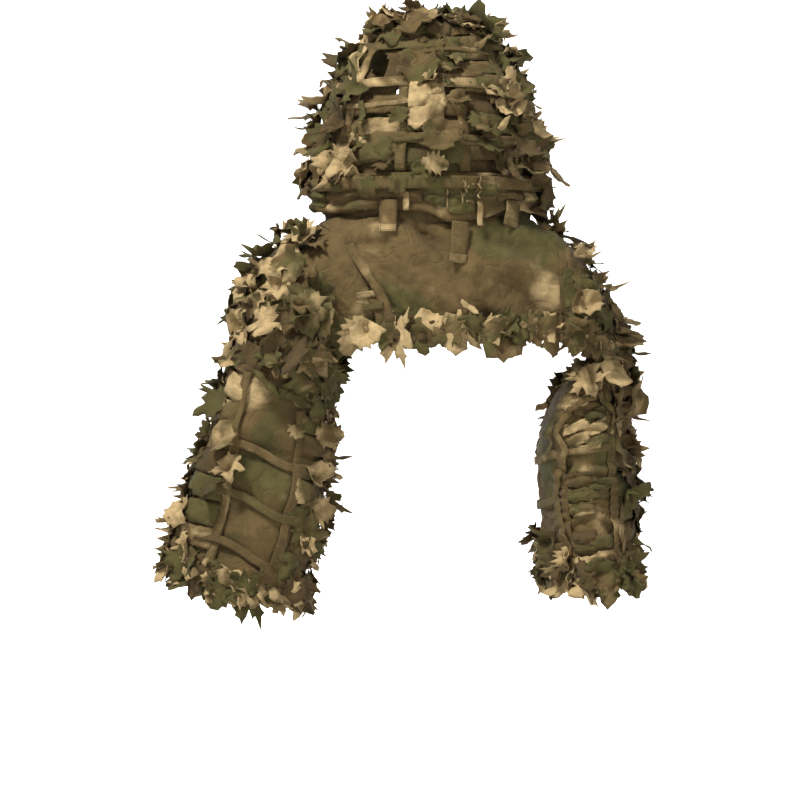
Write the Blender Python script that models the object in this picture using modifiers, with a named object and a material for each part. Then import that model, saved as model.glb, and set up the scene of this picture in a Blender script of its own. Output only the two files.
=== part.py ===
"""A hooded ghillie suit top: a short yoke over the shoulders, a stand collar, a deep hood and two wide sleeves,
all of thin cloth, crossed by ladder tapes and trimmed with garlands of cut cloth leaves.

Metres, +Z up. The wearer faces -Y, +X is the wearer's left, and the origin is the middle of the neck opening.
Run it with blender --background --python part.py, or from Blender's text editor.
"""

import math

import bmesh
import bpy
from mathutils import Vector

# Cloth and tape sizes
CLOTH = 0.0020
TAPE_THICKNESS = 0.0016
TAPE_WIDTH = 0.015
ARMHOLE_TAPE_WIDTH = 0.012
WEBBING_WIDTH = 0.025
LEAF_THICKNESS = 0.0012
STEM_HALF = 0.10
CLEARANCE = 0.0006
# How far the middle of each layer stands off the cloth's own middle
FIRST_LAYER = 0.0030
SECOND_LAYER = 0.0062
LEAF_LAYER = 0.0096

# Yoke: inverted U sections across the shoulders. Its right shoulder seam is in an upright plane. The left arm is held
# out and back, and its seam lies in a slanting plane. Each sleeve swings about its own seam plane's normal.
YOKE_HALF_WIDTH = 0.197
LEFT_SEAM_POINT = Vector((0.143, 0.020, -0.045))
LEFT_SEAM_NORMAL = Vector((0.890, 0.270, -0.365)).normalized()
RIGHT_SEAM_POINT = Vector((-0.1985, 0.000, -0.100))
RIGHT_SEAM_NORMAL = Vector((-1.0, 0.0, 0.0))
SEAM_HALF_GAP = 0.0015
YOKE_TOP = 0.045
SHOULDER_CURVE = 1.884
HEM_Z = -0.165
CHEST_HALF_DEPTH = 0.122
CHEST_TAPER = 0.55
YOKE_SQUARENESS = 3.0
NECK_HALF_WIDTH = 0.147
NECK_HALF_DEPTH = 0.100
FRONT_OPENING_HALF = 0.014

# Collar and hood: ovals that swell above the neck seam and close over the crown
COLLAR_LOW = 0.0035
COLLAR_HIGH = 0.0385
HOOD_LOW = 0.0430
HOOD_TOP = 0.295
HOOD_HALF_WIDTH = 0.165
HOOD_REAR_DEPTH = 0.118
HOOD_FRONT_DEPTH = 0.150
HOOD_SWELL_HEIGHT = 0.060
HOOD_ROUNDNESS = 1.2
HOOD_PANEL_HALF = 0.055
FACE_PLANE_Y = -0.105
CHIN_Z = 0.120
CHIN_SLOPE = 0.42
COLLAR_HALF_ANGLE = math.radians(130)

# Sleeves. Each station is an oval: its outer x and z, its inner x and z, half its depth, the middle's y, how far its
# back leans in x, and its squareness (2 is an ellipse). The outer and inner points are the oval's two ends.
LEFT_STATIONS = [
    (0.1685, -0.006, 0.0935, -0.190, 0.120, 0.000, -0.0364, 3.0),
    (0.217, -0.034, 0.108, -0.206, 0.112, 0.001, -0.020, 2.6),
    (0.262, -0.088, 0.132, -0.226, 0.098, 0.002, -0.009, 2.2),
    (0.275, -0.173, 0.143, -0.256, 0.086, 0.003, 0.000, 2.0),
    (0.296, -0.245, 0.145, -0.303, 0.079, 0.004, 0.000, 2.0),
    (0.318, -0.315, 0.149, -0.360, 0.075, 0.005, 0.000, 2.0),
    (0.338, -0.390, 0.161, -0.432, 0.074, 0.005, 0.000, 2.0),
    (0.355, -0.458, 0.173, -0.500, 0.073, 0.005, 0.000, 2.0),
    (0.366, -0.503, 0.181, -0.545, 0.072, 0.005, 0.000, 2.0),
]
RIGHT_STATIONS = [
    (-0.200, -0.030, -0.200, -0.190, 0.100, 0.000, 0.000, 3.0),
    (-0.228, -0.060, -0.199, -0.208, 0.100, -0.002, 0.000, 2.6),
    (-0.250, -0.110, -0.199, -0.232, 0.098, -0.004, 0.000, 2.2),
    (-0.270, -0.173, -0.176, -0.262, 0.098, -0.007, 0.000, 2.0),
    (-0.281, -0.245, -0.162, -0.303, 0.098, -0.010, 0.000, 2.0),
    (-0.287, -0.322, -0.162, -0.352, 0.100, -0.014, 0.000, 2.0),
    (-0.292, -0.395, -0.168, -0.415, 0.102, -0.018, 0.000, 2.0),
    (-0.296, -0.462, -0.173, -0.475, 0.104, -0.022, 0.000, 2.0),
    (-0.297, -0.512, -0.180, -0.522, 0.105, -0.025, 0.000, 2.0),
]
ELBOW = 4.0
CUFF = 8.0
ELBOW_CLEARANCE = 0.012
# Underarm vents: a point on the upper edge, that edge's upward normal, and the height of the lower edge
LEFT_VENT = (Vector((0.095, 0.0, -0.168)), Vector((0.640, 0.0, 0.768)), -0.224)
RIGHT_VENT = (Vector((-0.200, 0.0, -0.160)), Vector((-0.587, 0.0, 0.809)), -0.212)

# Middles that outward directions point away from
SHOULDER_MIDDLE = Vector((0.0, 0.0, -0.100))
HOOD_MIDDLE = Vector((0.0, 0.0, 0.13))

# Three hook-and-loop tabs across the back of the collar: name, middle x, top z, length, standoff, lean and slope
TABS = [
    ("tab_left", 0.056, 0.029, 0.045, 0.0085, 0.0, 6.0),
    ("tab_centre", -0.045, -0.002, 0.060, 0.0120, -6.0, 10.0),
    ("tab_right", -0.120, 0.028, 0.038, 0.0085, -14.0, 6.0),
]

# Side release buckle on the chest strap, lengths along X
STRAP_Z = -0.100
STRAP_Y = -0.1290
STRAP_REACH = 0.112
SOCKET_LENGTH = 0.034
PLUG_BAR_LENGTH = 0.016
PLUG_GAP = 0.0008
PRONG_LENGTH = 0.022
BUCKLE_HEIGHT = 0.034
BUCKLE_DEPTH = 0.0100
BUCKLE_WALL = 0.0022
PRONG_WIDTH = 0.0055
PRONG_DEPTH = 0.0040

EYELET_OUTER = 0.0070
EYELET_INNER = 0.0032
EYELET_DEPTH = 0.0030

OLIVE = (0.17, 0.16, 0.08)
BROWN = (0.24, 0.17, 0.10)
TAN = (0.42, 0.33, 0.20)
BLACK = (0.03, 0.03, 0.03)


# ---------------------------------------------------------------- the scene and its materials


def clear_scene():
    for old in list(bpy.data.objects):
        bpy.data.objects.remove(old)


def new_collection(name):
    collection = bpy.data.collections.new(name)
    bpy.context.scene.collection.children.link(collection)
    return collection


def material(name, colour, roughness, metallic=0.0):
    made = bpy.data.materials.new(name)
    made.use_nodes = True
    shader = made.node_tree.nodes["Principled BSDF"]
    shader.inputs["Base Color"].default_value = (*colour, 1.0)
    shader.inputs["Roughness"].default_value = roughness
    shader.inputs["Metallic"].default_value = metallic
    return made


def add_object(name, mesh, look):
    mesh.materials.append(look)
    made = bpy.data.objects.new(name, mesh)
    PARTS.objects.link(made)
    return made


def add_mesh(name, work, look):
    mesh = bpy.data.meshes.new(name)
    bmesh.ops.recalc_face_normals(work, faces=work.faces)
    work.to_mesh(mesh)
    work.free()
    return add_object(name, mesh, look)


def thicken(made, thickness):
    solid = made.modifiers.new("thickness", "SOLIDIFY")
    solid.thickness = thickness
    solid.offset = 0.0


# ---------------------------------------------------------------- the surfaces of the garment


def smooth_step(value):
    value = min(1.0, max(0.0, value))
    return value * value * (3 - 2 * value)


def yoke_depth(x):
    return CHEST_HALF_DEPTH - CHEST_TAPER * x * x


def yoke_point(x, side, angle):
    """side is 1 for the back and -1 for the front. angle is 0 on the shoulder ridge, a quarter turn at the hem."""
    top = YOKE_TOP - SHOULDER_CURVE * x * x
    y = yoke_depth(x) * math.sin(angle) ** (2 / YOKE_SQUARENESS)
    z = HEM_Z + (top - HEM_Z) * math.cos(angle) ** (2 / YOKE_SQUARENESS)
    return Vector((x, side * y, z))


def neck_angle(x):
    """The angle where a yoke section starts: on the neck oval, or beside the shoulder seam."""
    y = CLEARANCE
    if abs(x) < NECK_HALF_WIDTH:
        y = max(y, NECK_HALF_DEPTH * math.sqrt(1 - (x / NECK_HALF_WIDTH) ** 2))
    return math.asin((y / yoke_depth(x)) ** (YOKE_SQUARENESS / 2))


def hood_point(theta, z):
    """theta is 0 at the nape and turns towards the wearer's left. The same oval serves the collar."""
    height = min(1.0, max(0.0, (z - COLLAR_LOW) / (HOOD_TOP - COLLAR_LOW)))
    scale = math.sqrt(max(0.0, 1 - height ** (2 * HOOD_ROUNDNESS)))
    pinch = 1 - smooth_step((z - COLLAR_LOW) / HOOD_SWELL_HEIGHT)
    width = HOOD_HALF_WIDTH * scale - (HOOD_HALF_WIDTH - NECK_HALF_WIDTH) * pinch
    rear = HOOD_REAR_DEPTH * scale - (HOOD_REAR_DEPTH - NECK_HALF_DEPTH) * pinch
    front = HOOD_FRONT_DEPTH * scale - (HOOD_FRONT_DEPTH - NECK_HALF_DEPTH) * pinch
    depth = rear if math.cos(theta) > 0 else front
    return Vector((width * math.sin(theta), depth * math.cos(theta), z))


def hood_height(lift):
    """Heights that crowd together towards the crown: lift runs from 0 at the hood's base to 1 at the crown."""
    turn = lift * math.pi / 2
    return HOOD_LOW + (HOOD_TOP - HOOD_LOW) * math.sin(turn) ** (1 / HOOD_ROUNDNESS)


def station_at(stations, s):
    """A smooth curve through the stations, as Catmull and Rom draw it."""
    i = min(int(s), len(stations) - 2)
    t = s - i
    rows = [stations[min(max(k, 0), len(stations) - 1)] for k in (i - 1, i, i + 1, i + 2)]
    weights = (
        (-t + 2 * t**2 - t**3) / 2,
        (2 - 5 * t**2 + 3 * t**3) / 2,
        (t + 4 * t**2 - 3 * t**3) / 2,
        (-(t**2) + t**3) / 2,
    )
    return [sum(w * row[k] for w, row in zip(weights, rows)) for k in range(len(rows[0]))]


def rounded(value, squareness):
    return math.copysign(abs(value) ** (2 / squareness), value)


def sleeve_middle(stations, s):
    outer_x, outer_z, inner_x, inner_z, _, middle_y, _, _ = station_at(stations, s)
    return Vector(((outer_x + inner_x) / 2, middle_y, (outer_z + inner_z) / 2))


def sleeve_point(stations, theta, s):
    """theta is 0 on the outside of the arm and a quarter turn at its back. s is the station, 0 at the shoulder seam."""
    outer_x, outer_z, inner_x, inner_z, half_depth, _, lean, squareness = station_at(stations, s)
    across = Vector(((outer_x - inner_x) / 2, 0.0, (outer_z - inner_z) / 2))
    back = Vector((lean, half_depth, 0.0))
    along, deep = rounded(math.cos(theta), squareness), rounded(math.sin(theta), squareness)
    return sleeve_middle(stations, s) + across * along + back * deep


def surface_normal(point, u, v, outward_from):
    """The surface's own normal at (u, v), turned to face away from the point outward_from."""
    step = 1e-3
    along_u = point(u + step, v) - point(u - step, v)
    along_v = point(u, v + step) - point(u, v - step)
    normal = along_u.cross(along_v).normalized()
    return normal if normal.dot(point(u, v) - outward_from) > 0 else -normal


# ---------------------------------------------------------------- cloth panels, tapes and garlands


def resample(points, count):
    """The same polyline with count points at even distances."""
    lengths = [0.0]
    for a, b in zip(points, points[1:]):
        lengths.append(lengths[-1] + (b - a).length)
    made = []
    k = 0
    for i in range(count):
        target = lengths[-1] * i / (count - 1)
        while k < len(points) - 2 and lengths[k + 1] < target:
            k += 1
        span = max(lengths[k + 1] - lengths[k], 1e-9)
        made.append(points[k].lerp(points[k + 1], (target - lengths[k]) / span))
    return made


def grid_mesh(rows, closed=False):
    """An open surface through rows of points. closed joins the last column to the first."""
    work = bmesh.new()
    verts = [[work.verts.new(p) for p in row] for row in rows]
    count = len(rows[0])
    for low, high in zip(verts, verts[1:]):
        for k in range(count if closed else count - 1):
            after = (k + 1) % count
            work.faces.new((low[k], low[after], high[after], high[k]))
    bmesh.ops.remove_doubles(work, verts=work.verts, dist=1e-5)
    return work


def cut_away(work, point, normal):
    """Removes the cloth on the normal's side of a plane."""
    geometry = work.verts[:] + work.edges[:] + work.faces[:]
    bmesh.ops.bisect_plane(work, geom=geometry, plane_co=point, plane_no=normal, clear_outer=True)


def panel(name, rows, look, closed=False):
    made = add_mesh(name, grid_mesh(rows, closed), look)
    thicken(made, CLOTH)
    return made


def tape(name, path, width, look, thickness=TAPE_THICKNESS, closed=False):
    """A flat tape along a path of (point, normal) pairs."""
    rows = []
    count = len(path)
    for k, (point, normal) in enumerate(path):
        before = path[(k - 1) % count if closed else max(k - 1, 0)][0]
        after = path[(k + 1) % count if closed else min(k + 1, count - 1)][0]
        side = normal.cross(after - before).normalized() * width / 2
        rows.append([point - side, point + side])
    if closed:
        rows.append(rows[0])
    made = add_mesh(name, grid_mesh(rows), look)
    thicken(made, thickness)
    return made


def even_places(point, places, count):
    """The places (u, v) along a line on a surface, chosen again at even distances."""
    spots = [point(u, v) for u, v in places]
    lengths = [0.0]
    for a, b in zip(spots, spots[1:]):
        lengths.append(lengths[-1] + (b - a).length)
    made = []
    k = 0
    for i in range(count):
        target = lengths[-1] * i / (count - 1)
        while k < len(spots) - 2 and lengths[k + 1] < target:
            k += 1
        part = (target - lengths[k]) / max(lengths[k + 1] - lengths[k], 1e-9)
        made.append(tuple(a + (b - a) * part for a, b in zip(places[k], places[k + 1])))
    return made


def path_on(point, places, layer, outward_from):
    """(point, normal) pairs over a surface at the places (u, v), standing off it by layer."""
    made = []
    for u, v in places:
        normal = surface_normal(point, u, v, outward_from)
        made.append((point(u, v) + normal * layer, normal))
    return made


def leaf_outline(length, width):
    """Half a turn round a five pointed leaf, from one side of its stem to the other, with its tip at +Y."""
    half = [(STEM_HALF, 0.00), (0.42, 0.10), (0.30, 0.30), (0.50, 0.58), (0.22, 0.62), (0.0, 1.0)]
    right = [(x * width, y * length) for x, y in half]
    return right + [(-x, y) for x, y in reversed(right[:-1])]


def flat_garland(length, leaves, tape_width):
    """A flat strip along X with a leaf on each stem. Each leaf: place along the strip, side, length and width."""
    stems = sorted((place - STEM_HALF * wide, place + STEM_HALF * wide) for place, _, _, wide in leaves)
    places = [0.0] + [x for stem in stems for x in stem] + [length]
    places += [(a[1] + b[0]) / 2 for a, b in zip(stems, stems[1:])]
    work = bmesh.new()
    edges = {x: [work.verts.new((x, side * tape_width / 2, 0.0)) for side in (-1, 1)] for x in sorted(places)}
    columns = list(edges.values())
    for before, after in zip(columns, columns[1:]):
        work.faces.new((before[0], after[0], after[1], before[1]))
    for place, side, long, wide in leaves:
        outline = leaf_outline(long, wide)
        row = 0 if side < 0 else 1
        first, last = edges[place + STEM_HALF * wide][row], edges[place - STEM_HALF * wide][row]
        middle = [(place + x, side * (y + tape_width / 2), 0.0) for x, y in outline[1:-1]]
        work.faces.new([first] + [work.verts.new(p) for p in middle] + [last])
    bmesh.ops.recalc_face_normals(work, faces=work.faces)
    bmesh.ops.triangulate(work, faces=[face for face in work.faces if len(face.verts) > 4])
    return work


def garland(name, path, leaves, look, flare=0.0, tape_width=0.010):
    """Bends a flat leaf strip along a path of (point, normal) pairs. flare lifts the leaf tips off the surface."""
    lengths = [0.0]
    for (a, _), (b, _) in zip(path, path[1:]):
        lengths.append(lengths[-1] + (b - a).length)
    total = lengths[-1]
    work = flat_garland(total, [(share * total, side, long, wide) for share, side, long, wide in leaves], tape_width)
    for vert in work.verts:
        along = min(max(vert.co.x, 0.0), total)
        k = max(i for i in range(len(path) - 1) if lengths[i] <= along + 1e-9)
        part = (along - lengths[k]) / (lengths[k + 1] - lengths[k])
        point = path[k][0].lerp(path[k + 1][0], part)
        normal = path[k][1].lerp(path[k + 1][1], part).normalized()
        ahead = (path[k + 1][0] - path[k][0]).normalized()
        side = normal.cross(ahead).normalized()
        lift = flare * max(0.0, abs(vert.co.y) - tape_width / 2)
        vert.co = point + ahead * (vert.co.x - along) + side * vert.co.y + normal * lift
    made = add_mesh(name, work, look)
    thicken(made, LEAF_THICKNESS)
    return made


def spread(low, high, count):
    return [low + (high - low) * k / (count - 1) for k in range(count)]


def leaf_row(count, sides, length, width, first=0.06, last=0.94):
    """Leaves at even places along a strip, on the given sides in turn."""
    places = spread(first, last, count)
    return [(place, sides[k % len(sides)], length, width) for k, place in enumerate(places)]


# ---------------------------------------------------------------- the yoke, on the shoulders


def yoke_rows(low_x, high_x, side, columns, rows):
    made = []
    for x in spread(low_x, high_x, columns):
        start = neck_angle(x)
        section = [yoke_point(x, side, start + (math.pi / 2 - start) * k / 60) for k in range(61)]
        made.append(resample(section, rows))
    return made


def make_yoke():
    width = YOKE_HALF_WIDTH
    panel("yoke_front_right", yoke_rows(-width, -FRONT_OPENING_HALF, -1, 9, 8), CLOTH_LOOK)
    for name, rows in (
        ("yoke_back", yoke_rows(-width, width, 1, 19, 8)),
        ("yoke_front_left", yoke_rows(FRONT_OPENING_HALF, width, -1, 9, 8)),
    ):
        work = grid_mesh(rows)
        cut_away(work, LEFT_SEAM_POINT - LEFT_SEAM_NORMAL * SEAM_HALF_GAP, LEFT_SEAM_NORMAL)
        thicken(add_mesh(name, work, CLOTH_LOOK), CLOTH)


def yoke_surface(x, angle):
    return yoke_point(x, 1, angle)


def make_hem_trim():
    inside = Vector((0.0, 0.0, -0.10))
    low = math.pi / 2 - 0.013
    tape_path = path_on(yoke_surface, [(x, low) for x in spread(-0.178, 0.046, 11)], FIRST_LAYER, inside)
    tape("hem_tape", tape_path, TAPE_WIDTH, TAPE_LOOK)
    leaf_path = path_on(yoke_surface, [(x, low) for x in spread(-0.176, 0.044, 8)], LEAF_LAYER, inside)
    garland("hem_leaf_garland", leaf_path, leaf_row(6, [1], 0.052, 0.040, 0.09, 0.86), LEAF_LOOK)


def make_armhole_tapes():
    """A tape along each shoulder seam, over the top of the shoulder from front to back."""

    def over_shoulder(x, angle):
        return yoke_point(x, 1 if angle > 0 else -1, abs(angle))

    def beside_seam(angle, seam_point, seam_normal):
        """The x where an angle's line across the yoke comes within half a tape and a margin of the seam plane."""
        low, high = 0.0, math.copysign(YOKE_HALF_WIDTH, seam_normal.x)
        for _ in range(40):
            x = (low + high) / 2
            short = (over_shoulder(x, angle) - seam_point).dot(seam_normal) < -ARMHOLE_TAPE_WIDTH / 2 - 0.0040
            low, high = (x, high) if short else (low, x)
        return low

    turns = [math.pi / 2 * (1 - (k / 60) ** 2) for k in range(6, 59)]
    turns = [-turn for turn in turns] + turns[::-1]
    seams = {"left": (LEFT_SEAM_POINT, LEFT_SEAM_NORMAL), "right": (RIGHT_SEAM_POINT, RIGHT_SEAM_NORMAL)}
    for side, (seam_point, seam_normal) in seams.items():
        places = [(beside_seam(turn, seam_point, seam_normal), turn) for turn in turns]
        path = path_on(over_shoulder, even_places(over_shoulder, places, 25), FIRST_LAYER, SHOULDER_MIDDLE)
        tape(f"armhole_tape_{side}", path, ARMHOLE_TAPE_WIDTH, TAPE_LOOK)


def make_collar():
    """The stand collar starts just above the neck edge of the yoke all the way round."""

    def low_edge(theta):
        x = 0.9999 * NECK_HALF_WIDTH * math.sin(theta)
        return yoke_point(x, 1, neck_angle(x)).z + 0.0032

    angles = spread(-COLLAR_HALF_ANGLE, COLLAR_HALF_ANGLE, 27)
    rows = []
    for part in spread(0.0, 1.0, 5):
        rows.append([hood_point(t, low_edge(t) + (COLLAR_HIGH - low_edge(t)) * part) for t in angles])
    panel("collar", rows, CLOTH_LOOK)
    middle = Vector((0.0, 0.0, 0.02))
    band = path_on(hood_point, [(theta, 0.026) for theta in spread(-1.9, 1.9, 25)], FIRST_LAYER + 0.0008, middle)
    tape("collar_band", band, 0.020, TAPE_LOOK)


def make_tabs():
    """Each tab lies flat against the collar and the yoke, and its object's origin is on its hinge at the top."""
    for name, x, top, length, standoff, lean, slope in TABS:
        upper = hood_point(math.asin(x / HOOD_HALF_WIDTH), max(top, 0.010))
        bpy.ops.mesh.primitive_cube_add(size=1.0)
        made = bpy.context.object
        made.name = name
        for vert in made.data.vertices:
            vert.co.x *= WEBBING_WIDTH
            vert.co.y *= TAPE_THICKNESS
            vert.co.z = (vert.co.z - 0.5) * length
        made.location = (x, upper.y + standoff, top)
        turn = math.atan2(upper.x * HOOD_REAR_DEPTH**2, upper.y * HOOD_HALF_WIDTH**2)
        made.rotation_euler = (math.radians(slope), math.radians(lean), -turn)
        made.data.materials.append(TAPE_LOOK)
        for holder in list(made.users_collection):
            holder.objects.unlink(made)
        PARTS.objects.link(made)


# ---------------------------------------------------------------- the chest strap and its buckle


def block(name, low, high, look):
    """A box between two corners, centred on its own origin."""
    bpy.ops.mesh.primitive_cube_add(size=1.0, location=[(a + b) / 2 for a, b in zip(low, high)])
    made = bpy.context.object
    made.name = name
    for vert in made.data.vertices:
        vert.co = Vector([c * (b - a) for c, a, b in zip(vert.co, low, high)])
    made.data.materials.append(look)
    for holder in list(made.users_collection):
        holder.objects.unlink(made)
    PARTS.objects.link(made)
    return made


def join_or_cut(target, others, operation):
    """Applies each other block to the target with a Boolean, then removes it or keeps it as a hidden cutter."""
    for other in others:
        step = target.modifiers.new(other.name, "BOOLEAN")
        step.operation = operation
        step.object = other
        other.hide_render = True
        other.display_type = "WIRE"
        PARTS.objects.unlink(other)
        CUTTERS.objects.link(other)


def make_buckle():
    """The socket is on the wearer's left of the middle. The plug slides out of it towards the right."""
    y_low, y_high = STRAP_Y - BUCKLE_DEPTH / 2, STRAP_Y + BUCKLE_DEPTH / 2
    z_low, z_high = STRAP_Z - BUCKLE_HEIGHT / 2, STRAP_Z + BUCKLE_HEIGHT / 2
    wall = BUCKLE_WALL
    socket = block("buckle_socket", (0, y_low, z_low), (SOCKET_LENGTH, y_high, z_high), PLASTIC_LOOK)
    cavity_end = PRONG_LENGTH + 0.001
    hollow = block(
        "socket_hollow", (-0.01, y_low + wall, z_low + wall), (cavity_end, y_high - wall, z_high - wall), PLASTIC_LOOK
    )
    window = block(
        "socket_window", (0.009, y_low + wall, z_low - 0.01), (0.019, y_high - wall, z_high + 0.01), PLASTIC_LOOK
    )
    slot_half = WEBBING_WIDTH / 2 + 0.001
    slot_low, slot_high = STRAP_Z - slot_half, STRAP_Z + slot_half
    slot_start, slot_end = SOCKET_LENGTH - 0.0075, SOCKET_LENGTH - 0.0035
    slot = block(
        "socket_slot", (slot_start, y_low - 0.01, slot_low), (slot_end, y_high + 0.01, slot_high), PLASTIC_LOOK
    )
    join_or_cut(socket, [hollow, window, slot], "DIFFERENCE")
    bar_start = -PLUG_BAR_LENGTH - PLUG_GAP
    plug = block("buckle_plug", (bar_start, y_low, z_low), (-PLUG_GAP, y_high, z_high), PLASTIC_LOOK)
    prongs = []
    for k, offset in enumerate((-1, 0, 1)):
        middle = STRAP_Z + offset * (BUCKLE_HEIGHT / 2 - wall - PRONG_WIDTH / 2 - 0.0006)
        reach = PRONG_LENGTH - (0.001 if offset else 0.006)
        prongs.append(
            block(
                f"plug_prong_{k}",
                (-0.004, STRAP_Y - PRONG_DEPTH / 2, middle - PRONG_WIDTH / 2),
                (reach, STRAP_Y + PRONG_DEPTH / 2, middle + PRONG_WIDTH / 2),
                PLASTIC_LOOK,
            )
        )
    join_or_cut(plug, prongs, "UNION")
    for k, start in enumerate((-0.0145, -0.0085)):
        low, high = (start, y_low - 0.01, slot_low), (start + 0.0035, y_high + 0.01, slot_high)
        join_or_cut(plug, [block(f"plug_slot_{k}", low, high, PLASTIC_LOOK)], "DIFFERENCE")


def make_chest_straps():
    """Webbing from each front panel to its half of the buckle, ending just short of it."""
    ends = {"chest_strap_left": (1, SOCKET_LENGTH), "chest_strap_right": (-1, PLUG_BAR_LENGTH + PLUG_GAP)}
    for name, (sign, end) in ends.items():
        line = [(end + CLEARANCE, STRAP_Y), (0.055, -0.1280), (0.085, -0.1212), (STRAP_REACH, -0.1178)]
        normal = Vector((0.0, -1.0, 0.0))
        path = [(Vector((sign * x, y, STRAP_Z)), normal) for x, y in line]
        tape(name, path, WEBBING_WIDTH, TAPE_LOOK)


# ---------------------------------------------------------------- the hood


def hood_grid():
    angles = [2 * math.pi * k / 32 for k in range(32)]
    heights = [hood_height(k / 9) for k in range(9)] + [HOOD_TOP - 0.0008]
    rows = [[hood_point(theta, z) for theta in angles] for z in heights]
    work = grid_mesh(rows, closed=True)
    rim = [edge for edge in work.edges if edge.is_boundary and edge.verts[0].co.z > HOOD_TOP - 0.01]
    bmesh.ops.contextual_create(work, geom=rim)
    cut_away(work, Vector((0.0, FACE_PLANE_Y, 0.0)), Vector((0.0, -1.0, 0.0)))
    cut_away(work, Vector((0.0, FACE_PLANE_Y, CHIN_Z)), Vector((0.0, -1.0, -CHIN_SLOPE)))
    return work


def make_hood_panels():
    half = HOOD_PANEL_HALF
    gap = CLEARANCE / 2
    sides = {
        "hood_centre_panel": [(half - gap, 1), (-half + gap, -1)],
        "hood_left_panel": [(half + gap, -1)],
        "hood_right_panel": [(-half - gap, 1)],
    }
    for name, planes in sides.items():
        work = hood_grid()
        for x, direction in planes:
            cut_away(work, Vector((x, 0.0, 0.0)), Vector((direction, 0.0, 0.0)))
        made = add_mesh(name, work, CLOTH_LOOK)
        thicken(made, CLOTH)


def hood_by_lift(theta, lift):
    return hood_point(theta, hood_height(lift))


def hood_path(places, layer):
    return path_on(hood_by_lift, places, layer, HOOD_MIDDLE)


def make_hood_tapes():
    uprights = {
        "hood_upright_centre_left": 0.245,
        "hood_upright_centre_right": -0.320,
        "hood_upright_left": 0.80,
        "hood_upright_right": -0.88,
    }
    for name, theta in uprights.items():
        path = hood_path([(theta, lift) for lift in spread(0.035, 0.78, 15)], FIRST_LAYER)
        tape(name, path, TAPE_WIDTH, TAPE_LOOK)
    crosses = {"hood_cross_low": 0.16, "hood_cross_middle": 0.37, "hood_cross_high": 0.57}
    for name, lift in crosses.items():
        path = hood_path([(theta, lift) for theta in spread(-1.75, 1.75, 27)], SECOND_LAYER)
        tape(name, path, TAPE_WIDTH * 0.9, TAPE_LOOK)
    band = path_on(hood_point, [(theta, 0.0525) for theta in spread(-2.0, 2.0, 27)], FIRST_LAYER + 0.0004, HOOD_MIDDLE)
    tape("hood_base_band", band, 0.012, TAPE_LOOK)


def face_plane_y(z):
    """The face opening lies in one upright plane, and leans back below the chin."""
    return FACE_PLANE_Y + CHIN_SLOPE * max(0.0, CHIN_Z - z)


def face_edge(count, inset):
    """(theta, lift) places round the face opening, set back from its edge: from the left of the chin over the brow."""

    def reach(lift):
        z = hood_height(lift)
        return (face_plane_y(z) + inset) / hood_point(math.pi, z).y

    low, high = 0.3, 1.0
    for _ in range(40):
        middle = (low + high) / 2
        low, high = (middle, high) if reach(middle) < 1 else (low, middle)
    made = []
    for k in range(count):
        turn = math.pi * k / (count - 1)
        lift = 0.035 + (low - 0.035) * math.sin(turn) ** 0.7
        theta = math.acos(-min(1.0, reach(lift)))
        made.append((theta if k < count / 2 else 2 * math.pi - theta, lift))
    return made


def make_face_hem():
    """The channel round the face opening, and the two metal eyelets at its lower ends for a drawcord."""
    places = face_edge(25, 0.010)
    tape("hood_face_hem", hood_path(places, FIRST_LAYER + 0.0008), TAPE_WIDTH * 0.8, TAPE_LOOK)
    for name, side in (("drawcord_eyelet_left", 1), ("drawcord_eyelet_right", -1)):
        theta, lift = face_edge(97, 0.027)[1]
        point, normal = hood_path([(side * theta, lift)], FIRST_LAYER)[0]
        bpy.ops.mesh.primitive_torus_add(
            major_radius=(EYELET_OUTER + EYELET_INNER) / 2,
            minor_radius=(EYELET_OUTER - EYELET_INNER) / 2,
            major_segments=16,
            minor_segments=6,
            location=point + normal * 0.0006,
        )
        made = bpy.context.object
        made.name = name
        made.rotation_euler = normal.to_track_quat("Z", "Y").to_euler()
        made.data.materials.append(METAL_LOOK)
        for holder in list(made.users_collection):
            holder.objects.unlink(made)
        PARTS.objects.link(made)


def make_hood_leaves():
    for name, sign in (("hood_leaf_garland_left", 1), ("hood_leaf_garland_right", -1)):
        path = hood_path([(sign * 1.45, lift) for lift in spread(0.06, 0.50, 8)], LEAF_LAYER)
        garland(name, path, leaf_row(7, [1, -1], 0.046, 0.042), LEAF_LOOK, flare=0.10)
    crown = hood_path([(theta, 0.68) for theta in spread(-1.2, 1.2, 9)], LEAF_LAYER)
    garland("hood_leaf_garland_crown", crown, leaf_row(5, [-1, 1], 0.036, 0.034), LEAF_LOOK, flare=0.2)
    nape = hood_path([(theta, 0.265) for theta in spread(-1.05, 1.05, 10)], LEAF_LAYER)
    garland("hood_leaf_garland_nape", nape, leaf_row(7, [1, -1], 0.045, 0.042), LEAF_LOOK, flare=0.06)


# ---------------------------------------------------------------- the sleeves


def cut_vent(work, vent):
    """Opens the underarm: removes the cloth under the vent's slanting upper edge and above its lower edge."""
    top, slope, low = vent
    for point, normal in ((top, slope), (Vector((0.0, 0.0, low)), Vector((0.0, 0.0, 1.0)))):
        geometry = work.verts[:] + work.edges[:] + work.faces[:]
        bmesh.ops.bisect_plane(work, geom=geometry, plane_co=point, plane_no=normal)
    gone = []
    for face in work.faces:
        middle = face.calc_center_median()
        if (middle - top).dot(slope) < 0 and middle.z > low:
            gone.append(face)
    bmesh.ops.delete(work, geom=gone, context="FACES")


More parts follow.
